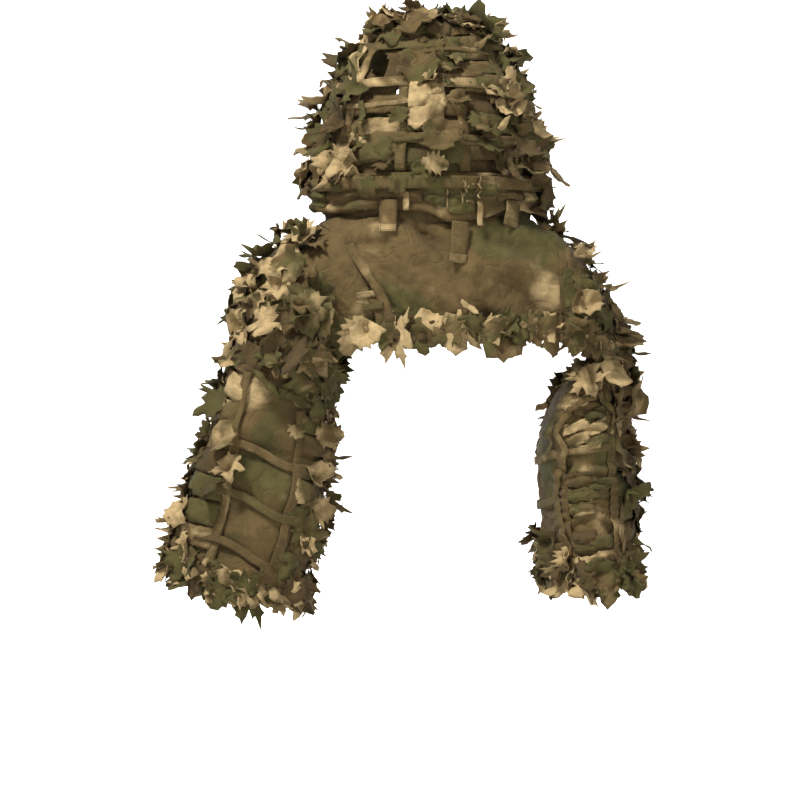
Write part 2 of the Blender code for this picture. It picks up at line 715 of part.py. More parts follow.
def make_sleeve(side, stations, vent, leaf_side):
    angles = [2 * math.pi * k / 20 for k in range(20)]

    def rows(low, high, count):
        return [[sleeve_point(stations, theta, s) for theta in angles] for s in spread(low, high, count)]

    upper = grid_mesh(rows(0.0, ELBOW - ELBOW_CLEARANCE, 9), closed=True)
    cut_vent(upper, vent)
    thicken(add_mesh(f"{side}_sleeve_upper", upper, CLOTH_LOOK), CLOTH)
    panel(f"{side}_sleeve_lower", rows(ELBOW + ELBOW_CLEARANCE, CUFF, 8), CLOTH_LOOK, closed=True)

    def on_sleeve(theta, s):
        return sleeve_point(stations, theta, s)

    def sleeve_path(places, layer):
        made = []
        for theta, s in places:
            made += path_on(on_sleeve, [(theta, s)], layer, sleeve_middle(stations, s))
        return made

    for name, theta, start in (("rear_outer", 1.05, 3.3), ("rear_inner", 2.1, 3.6), ("front", -1.45, 2.6)):
        path = sleeve_path([(theta, s) for s in spread(start, CUFF - 0.35, 12)], FIRST_LAYER)
        tape(f"{side}_sleeve_tape_{name}", path, TAPE_WIDTH, TAPE_LOOK)
    for name, s in (("high", 4.75), ("middle", 5.75), ("low", 6.75)):
        places = even_places(on_sleeve, [(theta, s) for theta in spread(-2.9, 2.9, 60)], 33)
        tape(f"{side}_sleeve_rung_{name}", sleeve_path(places, SECOND_LAYER), TAPE_WIDTH * 0.8, TAPE_LOOK)
    cuff = sleeve_path([(2 * math.pi * k / 24, CUFF - 0.12) for k in range(24)], FIRST_LAYER + 0.0004)
    tape(f"{side}_cuff_tape", cuff, TAPE_WIDTH * 0.7, TAPE_LOOK, closed=True)
    places = even_places(on_sleeve, [(theta, CUFF - 0.12) for theta in spread(-2.95, 2.95, 60)], 17)
    around = sleeve_path(places, LEAF_LAYER)
    garland(f"{side}_cuff_leaf_garland", around, leaf_row(10, [leaf_side], 0.042, 0.038), LEAF_LOOK, flare=0.25)
    over = sleeve_path([(theta, 1.35) for theta in spread(-1.25, 1.45, 10)], LEAF_LAYER)
    garland(f"{side}_shoulder_leaf_garland", over, leaf_row(7, [1, -1], 0.040, 0.040), LEAF_LOOK, flare=0.08)


# ---------------------------------------------------------------- the whole suit

clear_scene()
PARTS = new_collection("ghillie_suit")
CUTTERS = new_collection("cutters")
CLOTH_LOOK = material("camouflage_cloth", BROWN, 0.95)
TAPE_LOOK = material("webbing_tape", OLIVE, 0.90)
LEAF_LOOK = material("leaf_cloth", TAN, 0.95)
PLASTIC_LOOK = material("buckle_plastic", BLACK, 0.45)
METAL_LOOK = material("eyelet_metal", BLACK, 0.35, metallic=1.0)

make_yoke()
make_hem_trim()
make_armhole_tapes()
make_collar()
make_tabs()
make_buckle()
make_chest_straps()
make_hood_panels()
make_hood_tapes()
make_face_hem()
make_hood_leaves()
make_sleeve("left", LEFT_STATIONS, LEFT_VENT, -1)
make_sleeve("right", RIGHT_STATIONS, RIGHT_VENT, 1)
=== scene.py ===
"""A hooded ghillie suit top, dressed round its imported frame: draped camouflage cloth, ladder tapes and
several hundred curled cloth leaves. Metres, +Z up. The wearer faces -Y, +X is the wearer's left, and the
camera looks at the back."""

import math
import random

import bmesh
import bpy
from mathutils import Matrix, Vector, geometry, noise
from mathutils.bvhtree import BVHTree


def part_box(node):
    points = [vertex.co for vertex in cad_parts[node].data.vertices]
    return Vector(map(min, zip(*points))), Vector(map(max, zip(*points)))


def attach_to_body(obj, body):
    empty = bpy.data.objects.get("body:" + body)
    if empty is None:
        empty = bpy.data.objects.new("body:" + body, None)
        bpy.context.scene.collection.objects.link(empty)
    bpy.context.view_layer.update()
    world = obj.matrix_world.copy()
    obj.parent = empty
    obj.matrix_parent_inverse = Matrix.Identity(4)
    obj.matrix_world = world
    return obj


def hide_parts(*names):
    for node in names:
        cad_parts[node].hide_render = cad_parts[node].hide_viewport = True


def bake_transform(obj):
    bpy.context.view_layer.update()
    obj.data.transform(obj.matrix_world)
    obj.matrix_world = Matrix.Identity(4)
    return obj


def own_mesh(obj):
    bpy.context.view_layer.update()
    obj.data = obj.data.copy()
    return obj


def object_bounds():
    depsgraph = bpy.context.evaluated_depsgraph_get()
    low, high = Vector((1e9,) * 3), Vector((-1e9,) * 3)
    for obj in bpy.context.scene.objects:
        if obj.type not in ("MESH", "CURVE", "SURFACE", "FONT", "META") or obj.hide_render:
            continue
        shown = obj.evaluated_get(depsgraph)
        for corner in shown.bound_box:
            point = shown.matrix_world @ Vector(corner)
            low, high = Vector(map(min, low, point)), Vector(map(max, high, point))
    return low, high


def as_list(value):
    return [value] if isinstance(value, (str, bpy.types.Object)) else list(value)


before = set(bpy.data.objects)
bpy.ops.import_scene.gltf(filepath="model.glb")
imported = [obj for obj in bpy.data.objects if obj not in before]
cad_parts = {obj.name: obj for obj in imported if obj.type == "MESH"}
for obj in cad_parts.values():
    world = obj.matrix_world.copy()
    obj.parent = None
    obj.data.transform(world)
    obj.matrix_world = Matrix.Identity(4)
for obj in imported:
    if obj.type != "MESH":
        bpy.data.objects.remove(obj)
CAD_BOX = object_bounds()

# ---------------------------------------------------------------- sizes shared with the frame

YOKE_HALF_WIDTH = 0.197
YOKE_TOP = 0.045
SHOULDER_CURVE = 1.884
HEM_Z = -0.165
CHEST_HALF_DEPTH = 0.122
CHEST_TAPER = 0.55
YOKE_SQUARENESS = 3.0
NECK_HALF_WIDTH = 0.147
NECK_HALF_DEPTH = 0.100
FRONT_OPENING_HALF = 0.012
LEFT_SEAM_POINT = Vector((0.143, 0.020, -0.045))
LEFT_SEAM_NORMAL = Vector((0.890, 0.270, -0.365)).normalized()
RIGHT_SEAM_NORMAL = Vector((-1.0, 0.0, 0.0))

HOOD_FOOT = 0.0035
HOOD_LOW = 0.030
HOOD_TOP = 0.297
HOOD_HALF_WIDTH = 0.165
HOOD_REAR_DEPTH = 0.118
HOOD_FRONT_DEPTH = 0.150
HOOD_SWELL_HEIGHT = 0.060
HOOD_ROUNDNESS = 1.2
FACE_PLANE_Y = -0.105
CHIN_Z = 0.120
CHIN_SLOPE = 0.42

# Ovals along each sleeve: outer x and z, inner x and z, half depth, the middle's y, the lean of the back in
# x, and how square the oval is
LEFT_STATIONS = [
    (0.1665, -0.005, 0.0915, -0.190, 0.120, 0.000, -0.0364, 3.0),
    (0.217, -0.034, 0.108, -0.206, 0.112, 0.001, -0.020, 2.6),
    (0.262, -0.088, 0.132, -0.226, 0.098, 0.002, -0.009, 2.2),
    (0.275, -0.173, 0.143, -0.256, 0.086, 0.003, 0.000, 2.0),
    (0.296, -0.245, 0.145, -0.303, 0.079, 0.004, 0.000, 2.0),
    (0.318, -0.315, 0.149, -0.360, 0.075, 0.005, 0.000, 2.0),
    (0.338, -0.390, 0.161, -0.432, 0.074, 0.005, 0.000, 2.0),
    (0.355, -0.458, 0.173, -0.500, 0.073, 0.005, 0.000, 2.0),
    (0.366, -0.503, 0.181, -0.545, 0.072, 0.005, 0.000, 2.0),
]
RIGHT_STATIONS = [
    (-0.199, -0.029, -0.199, -0.190, 0.101, 0.000, 0.000, 3.0),
    (-0.228, -0.060, -0.199, -0.208, 0.100, -0.002, 0.000, 2.6),
    (-0.250, -0.110, -0.199, -0.232, 0.098, -0.004, 0.000, 2.2),
    (-0.270, -0.173, -0.176, -0.262, 0.098, -0.007, 0.000, 2.0),
    (-0.281, -0.245, -0.162, -0.303, 0.098, -0.010, 0.000, 2.0),
    (-0.287, -0.322, -0.162, -0.352, 0.100, -0.014, 0.000, 2.0),
    (-0.292, -0.395, -0.168, -0.415, 0.102, -0.018, 0.000, 2.0),
    (-0.296, -0.462, -0.173, -0.475, 0.104, -0.022, 0.000, 2.0),
    (-0.297, -0.512, -0.180, -0.522, 0.105, -0.025, 0.000, 2.0),
]
CUFF = 8.0

# The opening on a sleeve's inner side, by the chest: a point on its sloping top, that slope's normal, and the
# height of its lower end
LEFT_VENT = (Vector((0.095, 0.0, -0.168)), Vector((0.640, 0.0, 0.768)), -0.224)
RIGHT_VENT = (Vector((-0.200, 0.0, -0.160)), Vector((-0.587, 0.0, 0.809)), -0.212)

# Where cloth bends at a joint: (body, body, start, end)
HOOD_BEND = ("yoke", "hood", (0.0, 0.0, 0.030), (0.0, 0.0, 0.270))
LEFT_BEND = ("yoke", "left_sleeve", (0.128, 0.0, -0.098), (0.200, 0.022, -0.128))
RIGHT_BEND = ("yoke", "right_sleeve", (-0.1985, 0.0, -0.150), (-0.2515, 0.0, -0.203))

CLOTH_THICKNESS = 0.0014
TAPE_THICKNESS = 0.0012
STRAP_THICKNESS = 0.0015
CELL_THICKNESS = 0.0010
LEAF_THICKNESS = 0.0009

# ---------------------------------------------------------------- materials

BROWN = (0.125, 0.082, 0.031)
OLIVE = (0.088, 0.078, 0.024)
TAN = (0.500, 0.360, 0.172)
DARK = (0.026, 0.017, 0.009)


class Nodes:
    """Short names for adding shader nodes and joining them."""

    def __init__(self, name):
        self.material = bpy.data.materials.new(name)
        self.material.use_nodes = True
        self.tree = self.material.node_tree
        self.shader = self.tree.nodes["Principled BSDF"]

    def add(self, kind, settings=None, **inputs):
        node = self.tree.nodes.new(kind)
        for key, value in (settings or {}).items():
            setattr(node, key, value)
        for key, value in inputs.items():
            self.put(node, key.replace("_", " "), value)
        return node

    def put(self, node, key, value):
        socket = node.inputs[int(key) if key.isdigit() else key]
        if isinstance(value, bpy.types.NodeSocket):
            self.tree.links.new(value, socket)
        else:
            socket.default_value = value

    def math(self, operation, a, b=0.0, c=0.0):
        node = self.tree.nodes.new("ShaderNodeMath")
        node.operation = operation
        for index, value in enumerate((a, b, c)):
            self.put(node, str(index), value)
        return node.outputs[0]

    def mix(self, factor, a, b, blend="MIX"):
        node = self.tree.nodes.new("ShaderNodeMix")
        node.data_type = "RGBA"
        node.blend_type = blend
        for index, value in ((0, factor), (6, a), (7, b)):
            self.put(node, str(index), (*value, 1.0) if isinstance(value, tuple) else value)
        return node.outputs[2]

    def ramp(self, factor, low, high):
        """A smooth step from 0 at low to 1 at high."""
        node = self.tree.nodes.new("ShaderNodeMapRange")
        node.interpolation_type = "SMOOTHSTEP"
        for key, value in (("Value", factor), ("From Min", low), ("From Max", high)):
            self.put(node, key, value)
        return node.outputs[0]

    def noise(self, where, scale, detail=3.0, distortion=0.0, roughness=0.55):
        node = self.tree.nodes.new("ShaderNodeTexNoise")
        for key, value in (
            ("Vector", where),
            ("Scale", scale),
            ("Detail", detail),
            ("Distortion", distortion),
            ("Roughness", roughness),
        ):
            self.put(node, key, value)
        return node.outputs[0]


def camouflage(name, weave, ribs=0.0, blotch=7.0, contrast=1.0, printed=False, creases=0.0009):
    """Soft blotches of brown, olive and tan, pushed about by each point's tone: red for tan, green for olive
    and blue for darkening. The blue part is the darker dye of some leaves, cells and tapes, and painted shade
    on the cloth in fold valleys and under the leaves. On the yoke and sleeves the red part also carries a
    painted highlight on fold ridges. weave is the thread spacing and ribs the spacing of webbing ribs, in
    metres over the cloth. creases is the height of the crumpling. On printed cloth the blotches lie on the
    flat cloth, so each cut piece has its own."""
    n = Nodes(name)
    cloth = n.add("ShaderNodeUVMap").outputs["UV"]
    where = cloth if printed else n.add("ShaderNodeTexCoord").outputs["Object"]
    tone = n.add("ShaderNodeAttribute", {"attribute_name": "tone"}).outputs["Color"]
    split = n.add("ShaderNodeSeparateColor", Color=tone)
    tan, olive, shade = split.outputs[0], split.outputs[1], split.outputs[2]
    broad = n.noise(where, blotch, 3.0, 0.6)
    moved = {"0": where, "1": (3.1, 1.7, 5.3)}
    shifted = n.add("ShaderNodeVectorMath", {"operation": "ADD"}, **moved).outputs[0]
    second = n.noise(shifted, blotch * 1.3, 3.0, 0.9)
    fine = n.noise(where, 55.0, 5.0, 0.2, 0.65)
    threads = n.noise(cloth, 900.0, 2.0)
    olive_share = n.ramp(n.math("ADD", broad, n.math("MULTIPLY_ADD", olive, 1.0, -0.5)), 0.42, 0.62)
    tan_share = n.ramp(n.math("ADD", second, n.math("MULTIPLY_ADD", tan, 1.2, -0.6)), 0.52, 0.86)
    colour = n.mix(n.math("MULTIPLY", olive_share, contrast), BROWN, OLIVE)
    colour = n.mix(tan_share, colour, TAN)
    colour = n.mix(n.ramp(fine, 0.30, 0.62), n.mix(0.40, colour, DARK), colour)
    colour = n.mix(n.math("MULTIPLY", n.ramp(threads, 0.35, 0.75), 0.20), colour, n.mix(0.35, colour, TAN))
    # The blue part darkens towards DARK: dyed darkness on some pieces, painted shade on others
    colour = n.mix(n.math("MULTIPLY", shade, 0.85), colour, DARK)
    n.put(n.shader, "Base Color", colour)
    n.put(n.shader, "Roughness", 0.88)
    n.put(n.shader, "Sheen Weight", 0.03)
    n.put(n.shader, "Sheen Roughness", 0.55)
    n.put(n.shader, "Specular IOR Level", 0.12)
    split_uv = n.add("ShaderNodeSeparateXYZ", Vector=cloth)
    across = n.math("SINE", n.math("MULTIPLY", split_uv.outputs[0], 2 * math.pi / weave))
    along = n.math("SINE", n.math("MULTIPLY", split_uv.outputs[1], 2 * math.pi / (ribs or weave)))
    if ribs:
        cross = n.math("ADD", n.math("MULTIPLY", across, 0.35), along)
    else:
        cross = n.math("MULTIPLY", across, along)
    crumple = n.noise(where, 85.0, 4.0, 0.4)
    thread_height = 0.00022 if ribs else 0.00010
    height = n.math("MULTIPLY_ADD", cross, thread_height, n.math("MULTIPLY", crumple, 0.0016))
    line = n.math("ABSOLUTE", n.math("SUBTRACT", n.noise(where, 24.0, 2.0, 0.8), 0.5))
    height = n.math("MULTIPLY_ADD", n.ramp(line, 0.0, 0.07), creases, height)
    bump = n.add("ShaderNodeBump", Height=height, Strength=0.85, Distance=1.0)
    n.put(n.shader, "Normal", bump.outputs[0])
    return n.material


def plain(name, colour, roughness, metallic=0.0, grain=0.0002):
    """One colour with a fine speckle; grain is the height of the speckle in metres."""
    n = Nodes(name)
    where = n.add("ShaderNodeTexCoord").outputs["Object"]
    speckle = n.noise(where, 900.0, 3.0)
    paler = tuple(1.5 * c + 0.01 for c in colour)
    n.put(n.shader, "Base Color", n.mix(n.ramp(speckle, 0.3, 0.7), colour, paler))
    n.put(n.shader, "Roughness", n.math("MULTIPLY_ADD", speckle, 0.2, roughness - 0.1))
    n.put(n.shader, "Metallic", metallic)
    n.put(n.shader, "Specular IOR Level", 0.2)
    bump = n.add("ShaderNodeBump", Height=n.math("MULTIPLY", speckle, grain), Strength=0.6, Distance=1.0)
    n.put(n.shader, "Normal", bump.outputs[0])
    return n.material


CLOTH = camouflage("camouflage_cloth", 0.0011)
LADDER = camouflage("ladder_cloth", 0.0011, blotch=9.0)
TAPE = camouflage("webbing_tape", 0.0016, ribs=0.0030, blotch=11.0, contrast=0.6, creases=0.0002)
LEAF = camouflage("leaf_cloth", 0.0010, blotch=17.0, printed=True)
THREAD = plain("sewing_thread", (0.110, 0.085, 0.048), 0.8)
PLASTIC = plain("buckle_plastic", (0.036, 0.030, 0.017), 0.60, grain=0.0001)
METAL = plain("eyelet_metal", (0.09, 0.08, 0.06), 0.4, metallic=0.9)

# ---------------------------------------------------------------- building cloth


class Build:
    """Gathers cloth into one mesh: points, faces, cloth coordinates in metres and each point's tone."""

    def __init__(self):
        self.points, self.faces, self.cloth, self.tones = [], [], [], []

    def add(self, points, faces, cloth, tones):
        first = len(self.points)
        self.points += points
        self.faces += [tuple(first + i for i in face) for face in faces]
        self.cloth += cloth
        self.tones += tones

    def grid(self, rows, tone, keep=None, closed=False, shift=(0.0, 0.0)):
        """tone is one tone or a function of (row, column). keep says which cells stay, closed joins the last
        column to the first, and shift moves the cloth coordinates."""
        width = len(rows[0])
        points, cloth, tones = [], [], []
        down = shift[1]
        for i, row in enumerate(rows):
            if i:
                down += (row[width // 2] - rows[i - 1][width // 2]).length
            along = shift[0]
            for k, point in enumerate(row):
                if k:
                    along += (point - row[k - 1]).length
                points.append(point)
                cloth.append((along, down))
                tones.append(tone(i, k) if callable(tone) else tone)
        faces = []
        for i in range(len(rows) - 1):
            for k in range(width if closed else width - 1):
                if keep is None or keep(i, k):
                    j = (k + 1) % width
                    faces.append((i * width + k, i * width + j, (i + 1) * width + j, (i + 1) * width + k))
        self.add(points, faces, cloth, tones)

    def make(self, name, look, thickness, cuts=()):
        """The finished object once its cuts are made: a closed shell of that thickness, or one layer at 0."""
        mesh = bpy.data.meshes.new(name)
        mesh.from_pydata([tuple(p) for p in self.points], [], self.faces)
        uv = mesh.uv_layers.new(name="cloth")
        tone = mesh.color_attributes.new("tone", "FLOAT_COLOR", "POINT")
        for loop in mesh.loops:
            uv.data[loop.index].uv = self.cloth[loop.vertex_index]
        for i, value in enumerate(self.tones):
            tone.data[i].color = (*value, 1.0)
        work = bmesh.new()
        work.from_mesh(mesh)
        for cut in cuts:
            cut(work)
        loose = [v for v in work.verts if not v.link_faces]
        bmesh.ops.delete(work, geom=loose, context="VERTS")
        if thickness:
            shell(work, thickness)
        work.to_mesh(mesh)
        work.free()
        mesh.polygons.foreach_set("use_smooth", [True] * len(mesh.polygons))
        mesh.materials.append(look)
        made = bpy.data.objects.new(name, mesh)
        bpy.context.scene.collection.objects.link(made)
        return made


def shell(work, thickness):
    """Closes an open surface into a thin shell, half its thickness to each side."""
    work.normal_update()
    uv = work.loops.layers.uv.active
    tone = work.verts.layers.float_color["tone"]
    front = list(work.faces)
    rim = [edge for edge in work.edges if len(edge.link_faces) == 1]
    offsets = {v: v.normal * (thickness / 2) for v in work.verts}
    under = {}
    for v in list(work.verts):
        under[v] = work.verts.new(v.co - offsets[v])
        under[v][tone] = v[tone]
    for v, offset in offsets.items():
        v.co += offset

    def face(corners, coordinates):
        made = work.faces.new(corners)
        for loop, value in zip(made.loops, coordinates):
            loop[uv].uv = value

    for f in front:
        loops = list(f.loops)[::-1]
        face([under[loop.vert] for loop in loops], [loop[uv].uv.copy() for loop in loops])
    for edge in rim:
        loop = edge.link_loops[0]
        a, b = loop.vert, loop.link_loop_next.vert
        at_a, at_b = loop[uv].uv.copy(), loop.link_loop_next[uv].uv.copy()
        face([b, a, under[a], under[b]], [at_b, at_a, at_a, at_b])


def bisect(work, point, normal, clear):
    everything = work.verts[:] + work.edges[:] + work.faces[:]
    bmesh.ops.bisect_plane(work, geom=everything, plane_co=point, plane_no=normal, clear_outer=clear)


def plane_cut(point, normal):
    """Removes what is on the normal's side of a plane."""
    return lambda work: bisect(work, point, normal, True)


def vent_cut(vent):
    """Removes the faces inside a vent."""
    top, slope, low = vent

    def cut(work):
        bisect(work, top, slope, False)
        bisect(work, Vector((0.0, 0.0, low)), Vector((0.0, 0.0, 1.0)), False)
        gone = [f for f in work.faces if inside_vent(f.calc_center_median(), vent)]
        bmesh.ops.delete(work, geom=gone, context="FACES")

    return cut


def inside_vent(point, vent):
    top, slope, low = vent
    return (point - top).dot(slope) < 0 and point.z > low


def attach(piece, body, bend=None, replaces=()):
    """Rides the piece on its body. Where a bend is given, the piece's transform is baked into its points
    instead, and it rides on no body.
    """
    if bend:
        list(bend)
        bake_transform(piece)
    else:
        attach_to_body(piece, body)
    if replaces:
        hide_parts(*replaces)
    return piece


# ---------------------------------------------------------------- the garment's surfaces


def clamp(value, low=0.0, high=1.0):
    return min(high, max(low, value))


def smooth(value):
    value = clamp(value)
    return value * value * (3 - 2 * value)


def spread(low, high, count):
    """Evenly spaced values from low to high."""
    return [low + (high - low) * k / (count - 1) for k in range(count)]


def neighbours(values):
    """Each value with the next one."""
    return list(zip(values, values[1:]))


def wobble(x, y, z, scale, seed=0.0):
    """Smooth noise, about -0.5 to 0.5."""
    return noise.noise(Vector((x * scale + seed, y * scale - seed, z * scale + 2 * seed)))


def wobble_at(point, scale, seed=0.0):
    return wobble(point.x, point.y, point.z, scale, seed)


def near_line(x, z, a, b, width):
    """1 on the line from a to b, falling away to 0 over its width and towards its ends."""
    ax, az, bx, bz = *a, *b
    length2 = (bx - ax) ** 2 + (bz - az) ** 2
    t = ((x - ax) * (bx - ax) + (z - az) * (bz - az)) / length2
    k = clamp(t)
    d2 = (x - ax - k * (bx - ax)) ** 2 + (z - az - k * (bz - az)) ** 2
    return math.exp(-d2 / width**2) * (0.35 + 0.65 * math.sin(math.pi * clamp(k, 0.04, 0.96)))


class Surface:
    """A cloth surface: point(u, v), its outward normal away from a middle, and the height of its folds."""

    def __init__(self, point, middle, folds=None):
        self.point, self.middle, self.folds = point, middle, folds

    def normal(self, u, v):
        step = 1e-3
        along_u = self.point(u + step, v) - self.point(u - step, v)
        along_v = self.point(u, v + step) - self.point(u, v - step)
        normal = along_u.cross(along_v)
        if normal.length < 1e-12:
            return Vector((0.0, 0.0, 1.0))
        normal.normalize()
        middle = self.middle(v) if callable(self.middle) else self.middle
        return normal if normal.dot(self.point(u, v) - middle) > 0 else -normal

    def at(self, u, v, off=0.0):
        """(point, normal) at a height above the folded cloth."""
        point, normal = self.point(u, v), self.normal(u, v)
        fold = self.folds(u, v, point) if self.folds else 0.0
        return point + normal * (fold + off), normal

    def find(self, x, z, us, vs):
        """The (u, v) whose point is nearest to x and z, seen along Y, within the ranges given."""
        best = None
        (u0, u1), (v0, v1) = us, vs
        for _ in range(5):
            for u in spread(u0, u1, 13):
                for v in spread(v0, v1, 13):
                    p = self.point(u, v)
                    d = (p.x - x) ** 2 + (p.z - z) ** 2
                    if best is None or d < best[0]:
                        best = (d, u, v)
            du, dv = (u1 - u0) / 8, (v1 - v0) / 8
            u0, u1 = max(us[0], best[1] - du), min(us[1], best[1] + du)
            v0, v1 = max(vs[0], best[2] - dv), min(vs[1], best[2] + dv)
        return best[1], best[2]


# The yoke: side is 1 for the back and -1 for the front. v is the angle from the shoulder ridge to the hem.
def yoke_depth(x):
    return CHEST_HALF_DEPTH - CHEST_TAPER * x * x


def yoke_point(x, side, angle):
    angle = clamp(angle, 0.002, math.pi / 2 - 0.0002)
    top = YOKE_TOP - SHOULDER_CURVE * x * x
    y = yoke_depth(x) * math.sin(angle) ** (2 / YOKE_SQUARENESS)
    z = HEM_Z + (top - HEM_Z) * math.cos(angle) ** (2 / YOKE_SQUARENESS)
    return Vector((x, side * y, z))


def yoke_angle(x, z):
    """The angle at which the yoke at x has the height z."""
    top = YOKE_TOP - SHOULDER_CURVE * x * x
    return math.acos(clamp((z - HEM_Z) / (top - HEM_Z), 0.0, 0.9999) ** (YOKE_SQUARENESS / 2))


def neck_angle(x):
    y = 0.0
    if abs(x) < NECK_HALF_WIDTH:
        y = NECK_HALF_DEPTH * math.sqrt(1 - (x / NECK_HALF_WIDTH) ** 2)
    return math.asin(clamp(y / yoke_depth(x), 0.0, 0.999) ** (YOKE_SQUARENESS / 2))


# Soft folds of the back panel, each from one (x, z) to another: width, and height outwards or inwards
BACK_FOLDS = [
    ((0.100, -0.030), (0.048, -0.074), 0.012, 0.0050),
    ((0.088, -0.046), (0.036, -0.098), 0.009, -0.0046),
    ((0.085, -0.062), (0.020, -0.128), 0.013, 0.0060),
    ((0.105, -0.062), (0.052, -0.120), 0.010, -0.0050),
    ((0.022, -0.008), (-0.030, -0.048), 0.013, -0.0055),
    ((0.060, -0.012), (-0.010, -0.060), 0.018, 0.0045),
    ((-0.052, -0.030), (-0.064, -0.110), 0.013, 0.0048),
    ((-0.070, -0.020), (-0.150, -0.052), 0.013, -0.0040),
    ((-0.080, -0.046), (-0.165, -0.078), 0.016, 0.0048),
    ((-0.100, -0.084), (-0.190, -0.140), 0.014, -0.0036),
    ((0.004, -0.085), (-0.062, -0.140), 0.014, 0.0046),
    ((-0.070, -0.128), (-0.110, -0.155), 0.009, -0.0045),
    ((-0.120, -0.010), (-0.185, -0.030), 0.010, 0.0030),
    ((0.118, -0.020), (0.040, -0.010), 0.011, 0.0036),
    ((0.112, -0.036), (0.050, -0.030), 0.008, -0.0030),
    ((0.076, -0.080), (0.058, -0.150), 0.008, 0.0034),
    ((0.030, -0.110), (-0.010, -0.155), 0.009, -0.0036),
    ((-0.020, -0.060), (-0.060, -0.090), 0.010, -0.0030),
    ((-0.150, -0.060), (-0.190, -0.075), 0.007, -0.0030),
    ((-0.096, -0.030), (-0.130, -0.100), 0.011, 0.0026),
]


def yoke_folds(x, angle, point):
    """Creases and crumpling, flattened under the centre tab and the buckle."""
    height = 0.0040 * wobble_at(point, 22.0) + 0.0026 * wobble_at(point, 60.0, 3.0)
    height += 0.0016 * wobble(point.x + point.z, point.y, 2.2 * (point.z - point.x), 70.0, 11.0)
    if point.y > 0:
        for a, b, width, depth in BACK_FOLDS:
            height += 2.3 * depth * near_line(point.x, point.z, a, b, width)
        under_tab = math.exp(-(((point.x + 0.046) / 0.026) ** 2) - ((point.z + 0.034) / 0.034) ** 2)
        height = height * (1 - under_tab) - 0.002 * under_tab
    else:
        height += 0.0030 * math.sin(point.x * 95.0 + 14.0 * point.z) * smooth((0.02 - point.z) / 0.1)
        across, down = abs(point.x + 0.030) / 0.052, abs(point.z + 0.100) / 0.030
        under_buckle = math.exp(-(across**4) - (down**4))
        height = height * (1 - under_buckle) - 0.0030 * under_buckle
    return height


CHEST_MIDDLE = Vector((0.0, 0.0, -0.10))
BACK = Surface(lambda x, a: yoke_point(x, 1, a), CHEST_MIDDLE, yoke_folds)
FRONT = Surface(lambda x, a: yoke_point(x, -1, a), CHEST_MIDDLE, yoke_folds)


# The hood: u is the angle from the nape towards the wearer's left, v the height.
def hood_point(theta, z):
    height = clamp((z - HOOD_FOOT) / (HOOD_TOP - HOOD_FOOT))
    scale = math.sqrt(max(0.0, 1 - height ** (2 * HOOD_ROUNDNESS)))
    pinch = 1 - smooth((z - HOOD_FOOT) / HOOD_SWELL_HEIGHT)
    width = HOOD_HALF_WIDTH * scale - (HOOD_HALF_WIDTH - NECK_HALF_WIDTH) * pinch
    rear = HOOD_REAR_DEPTH * scale - (HOOD_REAR_DEPTH - NECK_HALF_DEPTH) * pinch
    front = HOOD_FRONT_DEPTH * scale - (HOOD_FRONT_DEPTH - NECK_HALF_DEPTH) * pinch
    depth = rear if math.cos(theta) > 0 else front
    return Vector((width * math.sin(theta), depth * math.cos(theta), z))


def hood_height(lift):
    """Heights that crowd together towards the crown: lift runs from 0 at the base to 1 at the crown."""
    return HOOD_LOW + (HOOD_TOP - HOOD_LOW) * math.sin(clamp(lift) * math.pi / 2) ** (1 / HOOD_ROUNDNESS)


def hood_lift(z):
    share = clamp((z - HOOD_LOW) / (HOOD_TOP - HOOD_LOW)) ** HOOD_ROUNDNESS
    return math.asin(clamp(share)) / (math.pi / 2)


def hood_folds(theta, lift, point):
    height = 0.0065 * wobble_at(point, 17.0, 1.0) + 0.0030 * wobble_at(point, 48.0)
    height += 0.0020 * math.sin(point.z * 168.0 + 3.0 * wobble_at(point, 20.0, 5.0))
    return height


HOOD = Surface(lambda theta, lift: hood_point(theta, hood_height(lift)), Vector((0.0, 0.0, 0.13)), hood_folds)
COLLAR = Surface(lambda theta, z: hood_point(theta, z), Vector((0.0, 0.0, 0.02)))


def face_y(z):
    """The y of the face opening's edge at height z."""
    return FACE_PLANE_Y + CHIN_SLOPE * max(0.0, CHIN_Z - z)


def station_at(stations, s):
    """The sleeve's oval at station s, on a smooth curve through the rows."""
    i = max(0, min(int(s), len(stations) - 2))
    t = s - i
    rows = [stations[min(max(k, 0), len(stations) - 1)] for k in (i - 1, i, i + 1, i + 2)]
    weights = (
        (-t + 2 * t**2 - t**3) / 2,
        (2 - 5 * t**2 + 3 * t**3) / 2,
        (t + 4 * t**2 - 3 * t**3) / 2,
        (-(t**2) + t**3) / 2,
    )
    return [sum(w * row[k] for w, row in zip(weights, rows)) for k in range(len(rows[0]))]


def rounded(value, squareness):
    return math.copysign(abs(value) ** (2 / squareness), value)


def sleeve_middle(stations, s):
    outer_x, outer_z, inner_x, inner_z, _, middle_y, _, _ = station_at(stations, s)
    return Vector(((outer_x + inner_x) / 2, middle_y, (outer_z + inner_z) / 2))


def sleeve_point(stations, theta, s):
    outer_x, outer_z, inner_x, inner_z, half_depth, _, lean, squareness = station_at(stations, s)
    across = Vector(((outer_x - inner_x) / 2, 0.0, (outer_z - inner_z) / 2))
    back = Vector((lean, half_depth, 0.0))
    along, deep = rounded(math.cos(theta), squareness), rounded(math.sin(theta), squareness)
    return sleeve_middle(stations, s) + across * along + back * deep


def left_folds(theta, s, point):
    """Long folds down the arm, and cloth that puffs out between the rungs."""
    fade = smooth(s / 0.8)
    height = 0.0050 * wobble_at(point, 20.0, 2.0) + 0.0020 * wobble_at(point, 60.0)
    height += 0.0045 * math.sin(4 * theta + 0.8 * s + 1.0) * smooth((s - 2.2) / 2.0)
    height += 0.0030 * math.sin(2 * math.pi * (s - 0.25) + 0.8 * math.sin(theta)) * smooth((s - 3.6) / 1.0)
    return height * fade


